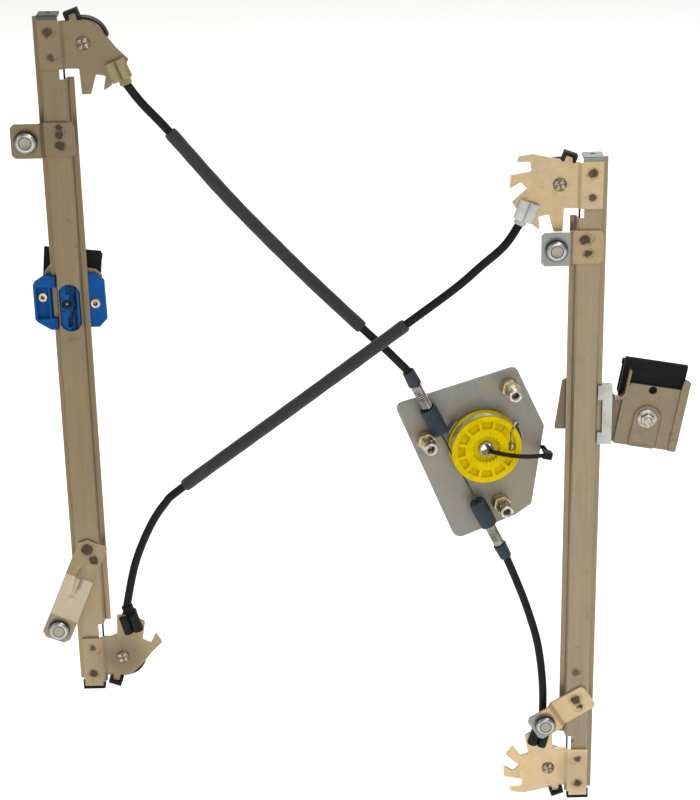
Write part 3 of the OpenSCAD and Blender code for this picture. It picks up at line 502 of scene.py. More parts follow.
class Palette:
    """Every finish of the regulator, made once when it is first asked for."""

    FINISHES: dict[str, Any] = {
        "fastener_zinc": BrightMetal("bright_zinc", (0.60, 0.59, 0.55), (0.38, 0.36, 0.30), 0.3),
        "hex_zinc": BrightMetal("gold_zinc", (0.62, 0.52, 0.34), (0.50, 0.40, 0.25), 0.34),
        "axle_steel": BrightMetal("coppery_steel", (0.25, 0.20, 0.155), (0.13, 0.10, 0.075), 0.34),
        "petal_steel": BrightMetal("staked_steel", (0.42, 0.38, 0.32), (0.28, 0.22, 0.17), 0.26),
        "spring_steel": BrightMetal("spring_wire", (0.44, 0.43, 0.40), (0.26, 0.25, 0.22), 0.24),
        "cable_steel": BrightMetal("greased_cable", (0.11, 0.10, 0.08), (0.045, 0.04, 0.03),
                                   0.36, 0.02),
        "dark_cable": BrightMetal("grimy_cable", (0.055, 0.048, 0.036), (0.018, 0.016, 0.012),
                                  0.4, 0.02),
        "wound_cable": BrightMetal("wound_cable", (0.66, 0.67, 0.60), (0.42, 0.42, 0.33), 0.3,
                                   0.02),
        "pulley_plastic": Moulding("natural_acetal", (0.62, 0.58, 0.47), (0.52, 0.47, 0.36),
                                   rough=0.36),
        "plastic_black": Moulding("black_nylon", (0.006, 0.007, 0.0065), (0.012, 0.014, 0.0125),
                                  dusty=0.02, rough=0.45, shine=0.15),
        "plastic_white": Moulding("natural_nylon", (0.54, 0.565, 0.54), (0.44, 0.46, 0.42),
                                  rough=0.38, glow=0.3, dusty=0.04, shine=0.35),
        "fitting_white": Moulding("aged_nylon", (0.31, 0.26, 0.13), (0.24, 0.205, 0.10),
                                  rough=0.36, glow=0.25, dusty=0.05, shine=0.4),
        "rubber": Moulding("moulded_rubber", (0.005, 0.007, 0.006), (0.009, 0.012, 0.010),
                           dusty=0.03, rough=0.62, skin=1400, relief=0.03, shine=0.12),
        "plastic_yellow": Moulding("yellow_acetal", (0.66, 0.50, 0.0), (0.55, 0.40, 0.0),
                                   dust=(0.40, 0.27, 0.0), dusty=0.14, rough=0.55, shine=0.04),
        "plastic_slate": Moulding("slate_nylon", (0.018, 0.031, 0.043), (0.028, 0.045, 0.06),
                                  dusty=0.05, rough=0.46, shine=0.22),
        "conduit_black": Moulding("conduit_skin", (0.005, 0.0058, 0.0052),
                                  (0.009, 0.0105, 0.0095), dusty=0.02, rough=0.42, skin=600,
                                  relief=0.014, shine=0.14),
        "plastic_blue": Moulding("blue_acetal", (0.001, 0.066, 0.25), (0.001, 0.085, 0.315),
                                 dust=(0.03, 0.14, 0.33), dusty=0.12, rough=0.46, shine=0.12),
        "foam_grey": Flock("flocked_foam", (0.021, 0.021, 0.0185), (0.0105, 0.0105, 0.009)),
        "steel_zinc": PlatedSheet("clear_zinc_sheet", **GREY_SHEET, grain=Grain.LEVEL,
                                  rough=0.46, stain=0.5),
    }

    def __init__(self) -> None:
        """Starts with nothing made."""
        self.made: dict[str, bpy.types.Material] = {}

    def get(self, name: str) -> bpy.types.Material:
        """Gives a finish.

        Args:
            name: Its name in the list, which is its slot's where a slot has it.

        Returns:
            The material.
        """
        if name not in self.made:
            self.made[name] = self.FINISHES[name].build()
        return self.made[name]

    def sheet(self, name: str, spots: Iterable[Spot] = (), grain: Grain = Grain.NONE,
              lift: float = 1.0, tones: dict[str, Colour] | None = None,
              zones: Iterable[Ring] = ()) -> bpy.types.Material:
        """Gives passivated sheet with its own spot welds.

        Args:
            name: The part that it is for.
            spots: The welds and stains on it.
            grain: The way that its rolling marks run.
            lift: How much brighter than the plain finish it is, which paints in the light or shade
                that falls on the part.
            tones: The sheet's colours, or the gold ones where left out.
            zones: Places with a tone of their own, or with painted light or shade.

        Returns:
            The material.
        """
        lifted = {key: tuple(min(0.9, c * lift) for c in tone)
                  for key, tone in (tones or GOLD_SHEET).items()}
        return PlatedSheet(f"sheet_{name}", **lifted, grain=grain, spots=tuple(spots),
                           zones=tuple(zones)).build()


# Shapes made with mesh operators


def turned(profile: Sequence[tuple[float, float]], base: Matrix, steps: int = 48) -> BMesh:
    """Spins a profile about an axis.

    Args:
        profile: Radius and height points, in millimetres.
        base: The place and turn of the axis, which is local Z, in metres.
        steps: Facets round.

    Returns:
        The closed shape.
    """
    bm = bmesh.new()
    verts = [bm.verts.new((r * MM, 0, z * MM)) for r, z in profile]
    edges = [bm.edges.new(pair) for pair in pairwise(verts)]
    bmesh.ops.spin(bm, geom=verts + edges, axis=(0, 0, 1), cent=(0, 0, 0),
                   angle=math.tau, steps=steps, use_merge=True)
    bmesh.ops.remove_doubles(bm, verts=bm.verts, dist=TOUCHING)
    close(bm)
    bmesh.ops.transform(bm, verts=bm.verts, matrix=base)
    return bm


def close(bm: BMesh) -> None:
    """Fills open rims and turns the faces outwards.

    Args:
        bm: The shape.
    """
    rims = [e for e in bm.edges if e.is_boundary]
    if rims:
        bmesh.ops.holes_fill(bm, edges=rims, sides=0)
    bmesh.ops.recalc_face_normals(bm, faces=bm.faces)


def stations(line: Sequence[Vector], twist: float = 0.0,
             swell: Callable[[float], float] | None = None) -> list[Matrix]:
    """Works out where each ring of a swept piece goes.

    Args:
        line: The centreline in metres.
        twist: Radians of turn per metre of line.
        swell: A scale for the ring at a distance in metres along the line.

    Returns:
        One matrix for each ring, without sudden turns.
    """
    out: list[Matrix] = []
    ahead = (line[1] - line[0]).normalized()
    # No line here runs straight back, so this direction gives the first ring its turn.
    side = ahead.cross(Vector((0.02, 1, 0.01))).normalized()
    run = 0.0
    for i, here in enumerate(line):
        before, after = line[max(i - 1, 0)], line[min(i + 1, len(line) - 1)]
        ahead = (after - before).normalized()
        side = (side - ahead * side.dot(ahead)).normalized()
        up = ahead.cross(side)
        run += (here - before).length
        turn = Matrix((side, up, ahead)).transposed().to_4x4()
        size = swell(run) if swell else 1.0
        out.append(Matrix.Translation(here) @ turn @ Matrix.Rotation(twist * run, 4, "Z")
                   @ Matrix.Diagonal((size, size, 1, 1)))
    return out


def swept(rings: Sequence[Matrix], radius: float, sides: int, lobes: float = 1.0,
          chunk: int = 60) -> BMesh:
    """Extrudes a ring along its stations, in short lengths that are then joined.

    Args:
        rings: The place of each ring.
        radius: The ring's radius in millimetres.
        sides: Its facets.
        lobes: The radius of every second corner against the others, as on a twisted rope.
        chunk: Rings in each length.

    Returns:
        The closed shape.
    """
    lengths = []
    for start in range(0, len(rings) - 1, chunk):
        bm = bmesh.new()
        made = bmesh.ops.create_circle(bm, cap_ends=False, radius=radius * MM, segments=sides)
        if lobes != 1.0:
            bmesh.ops.scale(bm, verts=made["verts"][::2], vec=(lobes, lobes, 1))
        bmesh.ops.transform(bm, verts=bm.verts, matrix=rings[start])
        edges = list(bm.edges)
        for last, now in pairwise(rings[start:start + chunk + 1]):
            grown = bmesh.ops.extrude_edge_only(bm, edges=edges)["geom"]
            edges = [g for g in grown if isinstance(g, BMEdge)]
            verts = [g for g in grown if isinstance(g, BMVert)]
            bmesh.ops.transform(bm, verts=verts, matrix=now @ last.inverted())
        lengths.append(bm)
    whole = merged(lengths)
    bmesh.ops.remove_doubles(whole, verts=whole.verts, dist=SEAM)
    close(whole)
    return whole


def smooth_line(route: Sequence[Point], step: float) -> list[Vector]:
    """Runs a smooth curve through a route, as the drawing does.

    Args:
        route: Points in millimetres.
        step: The spacing of the new points in millimetres.

    Returns:
        The curve in metres.
    """
    points = [Vector(p) * MM for p in route]
    out: list[Vector] = []
    for i in range(len(points) - 1):
        a, b, c, d = (points[min(max(i + k, 0), len(points) - 1)] for k in (-1, 0, 1, 2))
        count = max(2, round((c - b).length / (step * MM)))
        for k in range(count):
            t = k / count
            out.append(0.5 * (2 * b + (c - a) * t + (2 * a - 5 * b + 4 * c - d) * t * t
                              + (3 * b - a - 3 * c + d) * t ** 3))
    return out + [points[-1]]


def helix(radius: float, start: float, end: float, turns: float, base: Matrix,
          per_turn: int, ease: float = 0.0) -> list[Vector]:
    """Runs a helix about local Z.

    Args:
        radius: In millimetres.
        start: The height where it starts, in millimetres.
        end: The height where it ends, in millimetres.
        turns: How many times it goes round.
        base: The place and turn of the axis, in metres.
        per_turn: Points in a turn.
        ease: How far the pitch closes up at both ends, from 0 to 1.

    Returns:
        The curve in metres.
    """
    count = round(abs(turns) * per_turn)
    line = []
    for i in range(count + 1):
        t = i / count
        eased = t - ease * math.sin(math.tau * t) / math.tau
        a = math.tau * turns * t
        spot = Vector((radius * math.cos(a), radius * math.sin(a), start + (end - start) * eased))
        line.append(base @ (spot * MM))
    return line


def hexagon(radius: float, low: float, high: float, base: Matrix, edge: float,
            steps: int) -> BMesh:
    """Builds a hexagonal prism with rounded edges.

    Args:
        radius: From its axis to a corner, in millimetres.
        low: Where it starts along local Z, in millimetres.
        high: Where it ends.
        base: The frame that it stands in.
        edge: The width of a rounded edge in millimetres.
        steps: The segments of a rounded edge.

    Returns:
        The prism.
    """
    bm = bmesh.new()
    bmesh.ops.create_cone(bm, cap_ends=True, segments=6, radius1=radius * MM,
                          radius2=radius * MM, depth=(high - low) * MM,
                          matrix=base @ Matrix.Translation((0, 0, (low + high) / 2 * MM)))
    bmesh.ops.bevel(bm, geom=bm.edges[:], offset=edge * MM, offset_type="OFFSET",
                    affect="EDGES", segments=steps, profile=0.5, material=-1)
    return bm


def merged(parts: Iterable[BMesh]) -> BMesh:
    """Puts several shapes into the first, and frees the others.

    Args:
        parts: The shapes.

    Returns:
        The first shape, with all of them in it.
    """
    whole, *rest = parts
    for part in rest:
        spare = bpy.data.meshes.new("spare")
        part.to_mesh(spare)
        whole.from_mesh(spare)
        part.free()
        bpy.data.meshes.remove(spare)
    return whole


@dataclass(frozen=True)
class Rope:
    """A twisted steel cable, with the strands as lobes of its section."""

    radius: float = 0.75
    pitch: float = 0.009
    sides: int = 12
    lobes: float = 0.84

    def along(self, line: Sequence[Vector]) -> BMesh:
        """Lays the cable along a line."""
        return swept(stations(line, math.tau / self.pitch), self.radius, self.sides, self.lobes)


def facing(at: Point, towards: Point) -> Matrix:
    """Places local Z along a direction.

    Args:
        at: The place in millimetres.
        towards: The direction.

    Returns:
        The matrix in metres.
    """
    turn = Vector(towards).to_track_quat("Z", "Y").to_matrix().to_4x4()
    return Matrix.Translation(Vector(at) * MM) @ turn


# The bench, where pieces meet the frame


class Bench:
    """Finishes CAD nodes, and ties new pieces to their bodies and material slots."""

    CREASE = math.radians(32)
    FLAT = math.radians(0.6)
    MERGE = 2e-6

    def __init__(self, packed: dict[str, Any], palette: Palette) -> None:
        """Reads the frame.

        Args:
            palette: The finishes.
        """
        self.nodes = packed["nodes"]
        self.palette = palette
        self.slots = {s["node"]: s["material_slot"] for s in packed["record"]["subparts"]}

    def place(self, bm: BMesh, name: str, node: str, material: bpy.types.Material,
              replace: bool = True, smooth: float = 40) -> bpy.types.Object:
        """Makes a piece from a finished shape.

        Args:
            bm: The shape, which is freed.
            name: The piece's name.
            node: The CAD node that it stands for or is fixed to.
            material: Its finish.
            replace: Whether the node is hidden.
            smooth: The angle in degrees under which edges look smooth.

        Returns:
            The piece.
        """
        limit = math.radians(smooth)
        for edge in bm.edges:
            edge.smooth = edge.is_manifold and edge.calc_face_angle(math.pi) < limit
        for face in bm.faces:
            face.smooth = True
        mesh = bpy.data.meshes.new(name)
        bm.to_mesh(mesh)
        bm.free()
        piece = bpy.data.objects.new(name, mesh)
        bpy.context.scene.collection.objects.link(piece)
        mesh.materials.append(material)
        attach(piece, self.nodes[node]["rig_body"])
        if replace:
            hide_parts(node)
        LOG.info("%s: %d faces", name, len(mesh.polygons))
        return piece

    def soften(self, node: str, width: float,
               material: bpy.types.Material | None = None) -> bpy.types.Object:
        """Rounds a CAD node's sharp edges on a copy that stands for it.

        Args:
            node: The CAD node.
            width: The width of its rounded edges in millimetres.
            material: Its finish, or its slot's where left out.

        Returns:
            The piece.
        """
        bm = bmesh.new()
        bm.from_mesh(self.nodes[node].data)
        bmesh.ops.remove_doubles(bm, verts=bm.verts, dist=self.MERGE)
        bmesh.ops.dissolve_degenerate(bm, edges=bm.edges, dist=TOUCHING)
        bmesh.ops.dissolve_limit(bm, angle_limit=self.FLAT, verts=bm.verts, edges=bm.edges)
        sharp = [e for e in bm.edges if e.is_manifold and e.calc_face_angle(0) > self.CREASE]
        bmesh.ops.bevel(bm, geom=sharp, offset=width * MM, offset_type="OFFSET",
                        affect="EDGES", segments=2, profile=0.5, material=-1,
                        clamp_overlap=False, loop_slide=True)
        bmesh.ops.remove_doubles(bm, verts=bm.verts, dist=TOUCHING)
        bmesh.ops.triangulate(bm, faces=[f for f in bm.faces if len(f.verts) > 4])
        piece = self.place(bm, f"{node}_finished", node,
                           material or self.palette.get(self.slots[node]), smooth=50)
        even = piece.modifiers.new("even_shading", "WEIGHTED_NORMAL")
        even.keep_sharp = True
        return piece


# Sub-assemblies


@dataclass
class Corner:
    """One end of a rail with its pulley, in the drawing's sizes."""

    name: str
    right: bool
    low: bool
    rail_x: float = 21
    spacing: float = 366
    top: float = 83
    drop: float = 105
    length: float = 508
    axle_x: float = 21.3
    axle_drop: tuple[float, float] = (17.5, 22)

    def at(self, x: float, y: float, z: float) -> Point:
        """Turns a place counted from the rail's end into the row frame.

        Args:
            x: How far inwards it is from the rail's middle.
            y: How far back it is.
            z: How far past the rail's end it is.

        Returns:
            The place in millimetres.
        """
        side, end = (-1 if self.right else 1), (-1 if self.low else 1)
        base = self.top - self.right * self.drop - self.low * self.length
        return (self.rail_x + self.right * self.spacing + side * x, y, base + end * z)

    @property
    def axle(self) -> Point:
        """The axle's place on the wing's front face."""
        return self.at(self.axle_x, 7, -self.axle_drop[self.low])

    @property
    def welds(self) -> tuple[Spot, Spot]:
        """The two spot welds of the bracket."""
        reach = self.axle_drop[self.low] + 17.2
        return (Spot(self.at(-1.6, 4.7, -9.2), 3.7),
                Spot(self.at(-1.2, 4.7, 8.4 - reach), 2.9, (0.085, 0.06, 0.042)))


@dataclass
class Rails:
    """Both rails with the pulley corners at their ends."""

    bench: Bench
    corners: tuple[Corner, ...] = (
        Corner("upper_left", False, False), Corner("lower_left", False, True),
        Corner("upper_right", True, False), Corner("lower_right", True, True))
    # Each corner's lift brightens or darkens its bracket's sheet: painted light and shade, as the
    # light falls unevenly on the four corners.
    light_lifts: tuple[tuple[str, float], ...] = (
        ("upper_left", 0.82), ("lower_left", 1.2), ("upper_right", 1.75), ("lower_right", 2.15))
    right_stains: tuple[Spot, ...] = (
        Spot((385.5, 6.6, -424), 3.3, (0.12, 0.08, 0.055)),
        Spot((383.5, 6.6, -484), 2.0, (0.16, 0.11, 0.075)))
    # A painted pool of light on the lower part of the left rail.
    left_glow: Ring = Ring((21, 6, -420), 170, 150, (0.39, 0.30, 0.185))
    rail_edge: float = 0.22
    bracket_edge: float = 0.2
    moulded_edge: float = 0.18
    fitting_edge: float = 0.22
    buffer_edge: float = 0.35
    axle: Profile = (
        (0, -1.5), (1.0, -1.5), (1.3, -1.15), (3.9, -1.1), (4.55, -0.9), (4.85, -0.45),
        (4.85, -0.03), (4, -0.03), (4, 9.7), (6.1, 9.7), (6.4, 10), (6.4, 10.7), (6.1, 11),
        (3.2, 11.2), (2.6, 10.6), (0, 10.6))
    petals: int = 4
    petal_turn: float = 0.35
    petal_r: float = 1.85
    petal_out: float = 2.6
    petal_front: float = -1.3
    petal_shape: Point = (1.15, 0.88, 0.55)

    def rails(self) -> None:
        """Dresses the two rails."""
        # The left rail's lift darkens it with painted shade, and the right rail's lift brightens
        # it with painted light.
        for node, lift, tones, spots, zones in (
                ("rail_left", 0.80, GOLD_SHEET, (), (self.left_glow,)),
                ("rail_right", 1.08, RAIL_SHEET, self.right_stains, ())):
            sheet = self.bench.palette.sheet(node, spots, Grain.UPRIGHT, lift, tones, zones)
            self.bench.soften(node, self.rail_edge, sheet)

    def zone(self, spec: Corner) -> Ring:
        """Gives the place on a corner's bracket that has a tone of its own or painted light or
        shade.

        Args:
            spec: The corner.

        Returns:
            The tinted or painted place.
        """
        tab = spec.at(-1.6, 8, -1.2)
        # The tabs keep their own silver-blue zinc tone; the upper left tab's is darkened further
        # as painted shade.
        return {"upper_left": Ring(tab, 15, 1, (0.075, 0.082, 0.086), UP),
                "upper_right": Ring(tab, 15, 1, (0.18, 0.21, 0.22), UP),
                # The lower left wing is darkened as painted shade, and the lower right wing
                # brightened as painted light.
                "lower_left": Ring(spec.axle, 27, 21, (0.185, 0.146, 0.094)),
                "lower_right": Ring(spec.at(-3, 6, -20), 22, 9, (0.47, 0.36, 0.215))}[spec.name]

    def corner(self, spec: Corner) -> None:
        """Dresses the bracket, guard, fitting and pulley of a corner.

        Args:
            spec: The corner.
        """
        lift = dict(self.light_lifts)[spec.name]
        sheet = self.bench.palette.sheet(spec.name, spec.welds, Grain.NONE, lift,
                                         zones=[self.zone(spec)])
        aged = self.bench.palette.get("fitting_white") if spec.name == "upper_left" else None
        self.bench.soften(f"pulley_bracket_{spec.name}", self.bracket_edge, sheet)
        self.bench.soften(f"pulley_{spec.name}", self.moulded_edge)
        self.bench.soften(f"cable_guard_{spec.name}", self.moulded_edge)
        self.bench.soften(f"end_fitting_{spec.name}", self.fitting_edge, aged)

    def lobes(self, base: Matrix) -> list[BMesh]:
        """Builds the lobes of a staked head round its axis.

        Args:
            base: The axle's frame.

        Returns:
            A mesh for each lobe.
        """
        made = []
        for i in range(self.petals):
            a = math.tau * (i + self.petal_turn) / self.petals
            spot = Vector((self.petal_out * math.cos(a), self.petal_out * math.sin(a),
                           self.petal_front)) * MM
            lobe = bmesh.new()
            bmesh.ops.create_uvsphere(
                lobe, u_segments=24, v_segments=14, radius=self.petal_r * MM,
                matrix=base @ Matrix.Translation(spot) @ Matrix.Rotation(a, 4, "Z")
                @ Matrix.Diagonal((*self.petal_shape, 1)))
            made.append(lobe)
        return made

    def axles(self) -> None:
        """Builds the staked axles with their four-lobed heads and broad tails."""
        parts, petals = [], []
        for spec in self.corners:
            base = facing(spec.axle, BACK)
            parts.append(turned(self.axle, base))
            petals += self.lobes(base)
        self.bench.place(merged(parts), "staked_axles", "pulley_axles",
                         self.bench.palette.get("axle_steel"))
        self.bench.place(merged(petals), "staked_lobes", "pulley_axles",
                         self.bench.palette.get("petal_steel"), replace=False)

    def build(self) -> None:
        """Builds and dresses every piece."""
        self.rails()
        for spec in self.corners:
            self.corner(spec)
        self.axles()
        self.bench.soften("stop_buffers", self.buffer_edge)


ARM_DOWN: Point = (-0.407, 0, -0.913)
ARM_ASIDE: Point = (0.913, 0, -0.407)


@dataclass(frozen=True)
class Bracket:
    """A mounting bracket that is turned about its origin, with its welds, tones and painted light
    and shade.
    """

    node: str
    origin: Point
    turn: float
    lift: float
    welds: tuple[tuple[float, float, float], ...]
    zones: tuple[Ring, ...] = ()
    face: float = 4.7
    burn: Colour = (0.05, 0.034, 0.022)

    @property
    def spots(self) -> list[Spot]:
        """The welds' places, from how far along and across the bracket they are."""
        c, s = math.cos(math.radians(self.turn)), math.sin(math.radians(self.turn))
        x, _, z = self.origin
        return [Spot((x + along * c + across * s, self.face, z - along * s + across * c),
                     radius, self.burn) for along, across, radius in self.welds]


@dataclass
class Mounts:
    """The four mounting brackets and their headed studs."""

    bench: Bench
    # Each seat's lift brightens or darkens its bracket's sheet as painted light or shade.
    seats: tuple[Bracket, ...] = (
        Bracket("mount_bracket_upper_left", (0, 0, 0), 0, 0.74,
                ((22.4, -4.3, 3.7), (22.2, 3.4, 3.5), (21.8, 8.4, 2.6))),
        Bracket("mount_bracket_upper_right", (363.5, 0, -84.5), 0, 1.25,
                ((22.4, -4.5, 3.2), (20.4, 5.6, 4.2)), (Ring((361, 0, -84), 19, 8, SILVER),)),
        Bracket("mount_bracket_lower_right", (362, 0, -464.5), -31.7, 1.95,
                ((29.4, -4.2, 2.8), (29.4, 2.6, 4.4)), (Ring((357, 0, -468), 15, 5, SILVER),)),
        # The arm's zones are painted light and shade: a painted highlight on the inclined face
        # below the first bend, painted shade below the second bend, and painted shade along the
        # rib's right flank.
        Bracket("mount_arm_lower_left", (26.7, 0, -306), 114, 1.08,
                ((7.5, -2.8, 5.0), (13.6, 4.6, 3.9)),
                (Ring((14.1, 3, -334.3), 50, 20, (0.55, 0.475, 0.345), ARM_DOWN),
                 Ring((2, -6.7, -361.3), 30, 2, (0.30, 0.245, 0.165), ARM_DOWN),
                 *(Ring((x, 1.5, z), radius, 3.2, (0.20, 0.165, 0.115), ARM_ASIDE)
                   for x, z, radius in ((15.4, -332.6, 3.6), (13.8, -336.2, 4.6),
                                        (12.1, -340, 4.6), (10.4, -343.8, 3.8))))))
    edge: float = 0.3
    stud_places: tuple[Point, ...] = (
        (0, 0, 0), (363.5, 0, -84.5), (362, 0, -464.5), (-1.975, -7.5, -370.404))
    head_front: float = -5.6
    head: Profile = (
        (0, -5.45), (3.6, -5.45), (4.2, -5.6), (4.6, -5.6), (5.6, -5.35), (6.6, -4.8),
        (7.4, -4.0), (7.9, -3.2), (8.0, -2.75), (7.85, -2.4), (4, -2.4), (4, 0), (3.5, 0),
        (3.5, 2.03), (5.2, 2.03), (5.0, 2.6), (4.3, 3.05), (0, 3.1))
    # Rings of painted shade and painted highlight on the domed heads: a dark outer rim in shade, a
    # bright highlight ring and a dark ring round the golden grey centre disc.
    head_light_rings: tuple[tuple[float, float, Colour], ...] = (
        (9.6, 0.8, (0.05, 0.047, 0.04)), (7.9, 0.9, (0.27, 0.285, 0.285)),
        (6.4, 0.8, (0.50, 0.51, 0.50)), (5.0, 0.6, (0.10, 0.092, 0.075)),
        (4.2, 0.5, (0.33, 0.30, 0.235)))

    def brackets(self) -> None:
        """Dresses the brackets with their welds."""
        for seat in self.seats:
            sheet = self.bench.palette.sheet(seat.node, seat.spots, Grain.NONE, seat.lift,
                                             zones=seat.zones)
            self.bench.soften(seat.node, self.edge, sheet)

    def studs(self) -> None:
        """Builds the headed studs, with rings of painted highlight and shade on their heads."""
        parts = [turned(self.head, facing(at, BACK), 64) for at in self.stud_places]
        rings = [Ring((x, y + self.head_front, z), radius, soft, tone)
                 for x, y, z in self.stud_places for radius, soft, tone in self.head_light_rings]
        finish = BrightMetal("stud_zinc_painted_rings", (0.46, 0.46, 0.44), (0.36, 0.35, 0.31), 0.24,
                             rings=tuple(rings))
        self.bench.place(merged(parts), "headed_studs", "mount_studs", finish.build(), smooth=32)

    def build(self) -> None:
        """Builds and dresses every piece."""
        self.brackets()
        self.studs()


@dataclass
class Drive:
    """The loose motor plate with its drum, tensioners and transport tie."""

    bench: Bench
    at: Point = (314, 24, -239)
    turn: float = 10
    line_angle: float = -64.6
    line_y: float = -8.5
    cable_r: float = 24
    standoffs: tuple[tuple[float, float], ...] = ((19.5, 42.5), (-42.7, 6.5), (14.1, -49))
    standoff_len: float = 22
    hexes: tuple[tuple[float, float, float], ...] = ((6.9, -8, -0.03), (5.6, -17, -8))
    hex_turn: float = 12
    hex_edge: float = 0.45
    boss_tip: Profile = ((2.5, 9), (2.5, 0.8), (3.1, 0), (4.3, 0), (4.8, 0.5))
    boss_seat: Profile = ((4.8, -16.9), (4.2, -16.9))
    boss_tail: Profile = (
        (0, 3.2), (3.4, 3.2), (4.3, 2.7), (4.3, 2.53), (3.9, 2.5), (3.9, -0.5))
    thread_r: float = 0.26
    springs: tuple[tuple[float, bool, float], ...] = ((49, True, 21), (-59, False, 19))
    spring_r: float = 3.45
    spring_gap: float = 0.7
    spring_turns: float = 14
    wire_r: float = 0.58
    bare_run: tuple[float, float] = (32.5, -43)
    bare_steps: int = 230
    rope: Rope = Rope()
    wound: tuple[float, float, float] = (-12.0, -5.0, 5.0)
    nipple: Profile = ((0, -2.2), (1.2, -2.2), (1.6, -1.8), (1.6, 1.8), (1.2, 2.2), (0, 2.2))
    nipple_at: Point = (19.4, -13.4, -0.4)
    lead: tuple[Point, ...] = (
        (19.4, -13.4, 1), (19.2, -13.4, 6), (19.4, -13.2, 12), (20.8, -12.8, 16),
        (22.6, -12.3, 18.6))

    @property
    def base(self) -> Matrix:
        """The plate's own frame."""
        return (Matrix.Translation(Vector(self.at) * MM)
                @ Matrix.Rotation(math.radians(self.turn), 4, "Z"))

    def drum_axis(self, x: float = 0, z: float = 0) -> Matrix:
        """Gives local Z along the plate's depth, at a place on it."""
        place = Matrix.Translation(Vector((x, 0, z)) * MM)
        return self.base @ place @ Matrix.Rotation(math.radians(-90), 4, "X")

    def line_place(self, s: float) -> Vector:
        """Gives a place along the cable's line past the drum, in the plate's frame.

        Args:
            s: How far up the line it is from the drum's height, in millimetres.

        Returns:
            The place in millimetres.
        """
        a = math.radians(self.line_angle)
        ahead = Vector((-math.cos(a), 0, -math.sin(a)))
        aside = Vector((-ahead.z, 0, ahead.x)) * self.cable_r
        return Vector((aside.x + s * ahead.x, self.line_y, aside.z + s * ahead.z))

    def line_base(self, s: float, up: bool) -> Matrix:
        """Gives local Z along the cable's line, away from the drum.

        Args:
            s: Where on the line it starts, in millimetres.
            up: Whether it leads up the line.

        Returns:
            The frame.
        """
        here, there = self.line_place(s), self.line_place(s + (1 if up else -1))
        turn = (there - here).to_track_quat("Z", "Y").to_matrix().to_4x4()
        return self.base @ Matrix.Translation(here * MM) @ turn

    def plate(self) -> None:
        """Dresses the motor plate."""
        warm = (Ring(tuple(self.base @ Vector((0.03, 0, -0.035)) / MM), 62, 45,
                     (0.285, 0.252, 0.19)),)
        finish = PlatedSheet("mottled_zinc_plate", (0.265, 0.262, 0.235), (0.30, 0.27, 0.205),
                             (0.31, 0.27, 0.215), (0.23, 0.25, 0.25), grain=Grain.NONE,
                             rough=0.5, stain=0.85, streaks=0.16, zones=warm)
        self.bench.soften("motor_plate", 0.3, finish.build())

    def bosses(self) -> None:
        """Builds the hexagonal standoffs with chamfers and a thread inside."""
        parts, hexes, threads = [], [], []
        end = -self.standoff_len
        tip = [*((radius, end + up) for radius, up in self.boss_tip), *self.boss_seat]
        turn = Matrix.Rotation(math.radians(self.hex_turn), 4, "Z")
        for x, z in self.standoffs:
            axis = self.drum_axis(x, z)
            hexes += [hexagon(*size, axis @ turn, self.hex_edge, 2) for size in self.hexes]
            parts += [turned(tip, axis), turned(self.boss_tail, axis)]
            ridge = helix(2.52, end + 0.9, end + 8, 9, axis, 28)
            threads.append(swept(stations(ridge), self.thread_r, 6))
        self.bench.place(merged(parts), "threaded_standoffs", "standoffs",
                         self.bench.palette.get("fastener_zinc"), smooth=32)
        self.bench.place(merged(hexes), "standoff_hexagons", "standoffs",
                         self.bench.palette.get("hex_zinc"), replace=False, smooth=32)
        self.bench.place(merged(threads), "standoff_threads", "standoffs",
                         self.bench.palette.get("axle_steel"), replace=False)

    def windings(self) -> None:
        """Winds the cable on the drum, and sets its nipple in the pocket."""
        rope = self.rope.along(helix(self.cable_r, *self.wound, self.drum_axis(), 420))
        seat = self.base @ Matrix.Translation(Vector(self.nipple_at) * MM)
        lead = self.rope.along([self.base @ p for p in smooth_line(self.lead, 0.5)])
        self.bench.place(merged([rope, turned(self.nipple, seat, 24), lead]), "wound_cable",
                         "drum_windings", self.bench.palette.get("wound_cable"))

    def tensioners(self) -> None:
        """Builds the springs, the bare cable between them, and dresses the caps."""
        coils = []
        for start, up, length in self.springs:
            wire = helix(self.spring_r, self.spring_gap, length - self.spring_gap,
                         self.spring_turns, self.line_base(start, up), 30, 0.2)
            coils.append(swept(stations(wire), self.wire_r, 10))
        self.bench.place(merged(coils), "tensioner_coils", "tensioner_springs",
                         self.bench.palette.get("spring_steel"))
        first, last = (self.base @ (self.line_place(s) * MM) for s in self.bare_run)
        run = [first.lerp(last, i / self.bare_steps) for i in range(self.bare_steps + 1)]
        self.bench.place(self.rope.along(run), "bare_cable", "drum_cable_run",
                         self.bench.palette.get("cable_steel"))
        for node in ("tensioner_cap_upper", "tensioner_cap_lower", "tensioner_collars"):
            self.bench.soften(node, 0.5)

    def build(self) -> None:
        """Builds and dresses every piece."""
        self.plate()
        self.bosses()
        self.bench.soften("drum", 0.22)
        self.bench.soften("drum_bush", 0.25)
        self.windings()
        self.tensioners()
        self.bench.soften("transit_tie", 0.02)


@dataclass(frozen=True)
class Conduit:
    """A conduit's route, in millimetres, and its ends inside what holds it."""

    node: str
    route: tuple[Point, ...]
    start: Point
    end: Point

    @property
    def line(self) -> list[Vector]:
        """The whole conduit's middle line."""
        return [Vector(self.start) * MM, *smooth_line(self.route, 2.0), Vector(self.end) * MM]

    def piece(self, first: int, last: int) -> list[Vector]:
        """Cuts out the line between two points of the route.

        Args:
            first: The number of the point where it starts.
            last: The number of the point where it ends.

        Returns:
            The line in metres.
        """
        line = smooth_line(self.route, 1.5)
        spots = [min(range(len(line)), key=lambda i, p=p: (line[i] - p).length)
                 for p in (Vector(self.route[first]) * MM, Vector(self.route[last]) * MM)]
        return line[spots[0]:spots[1] + 1]


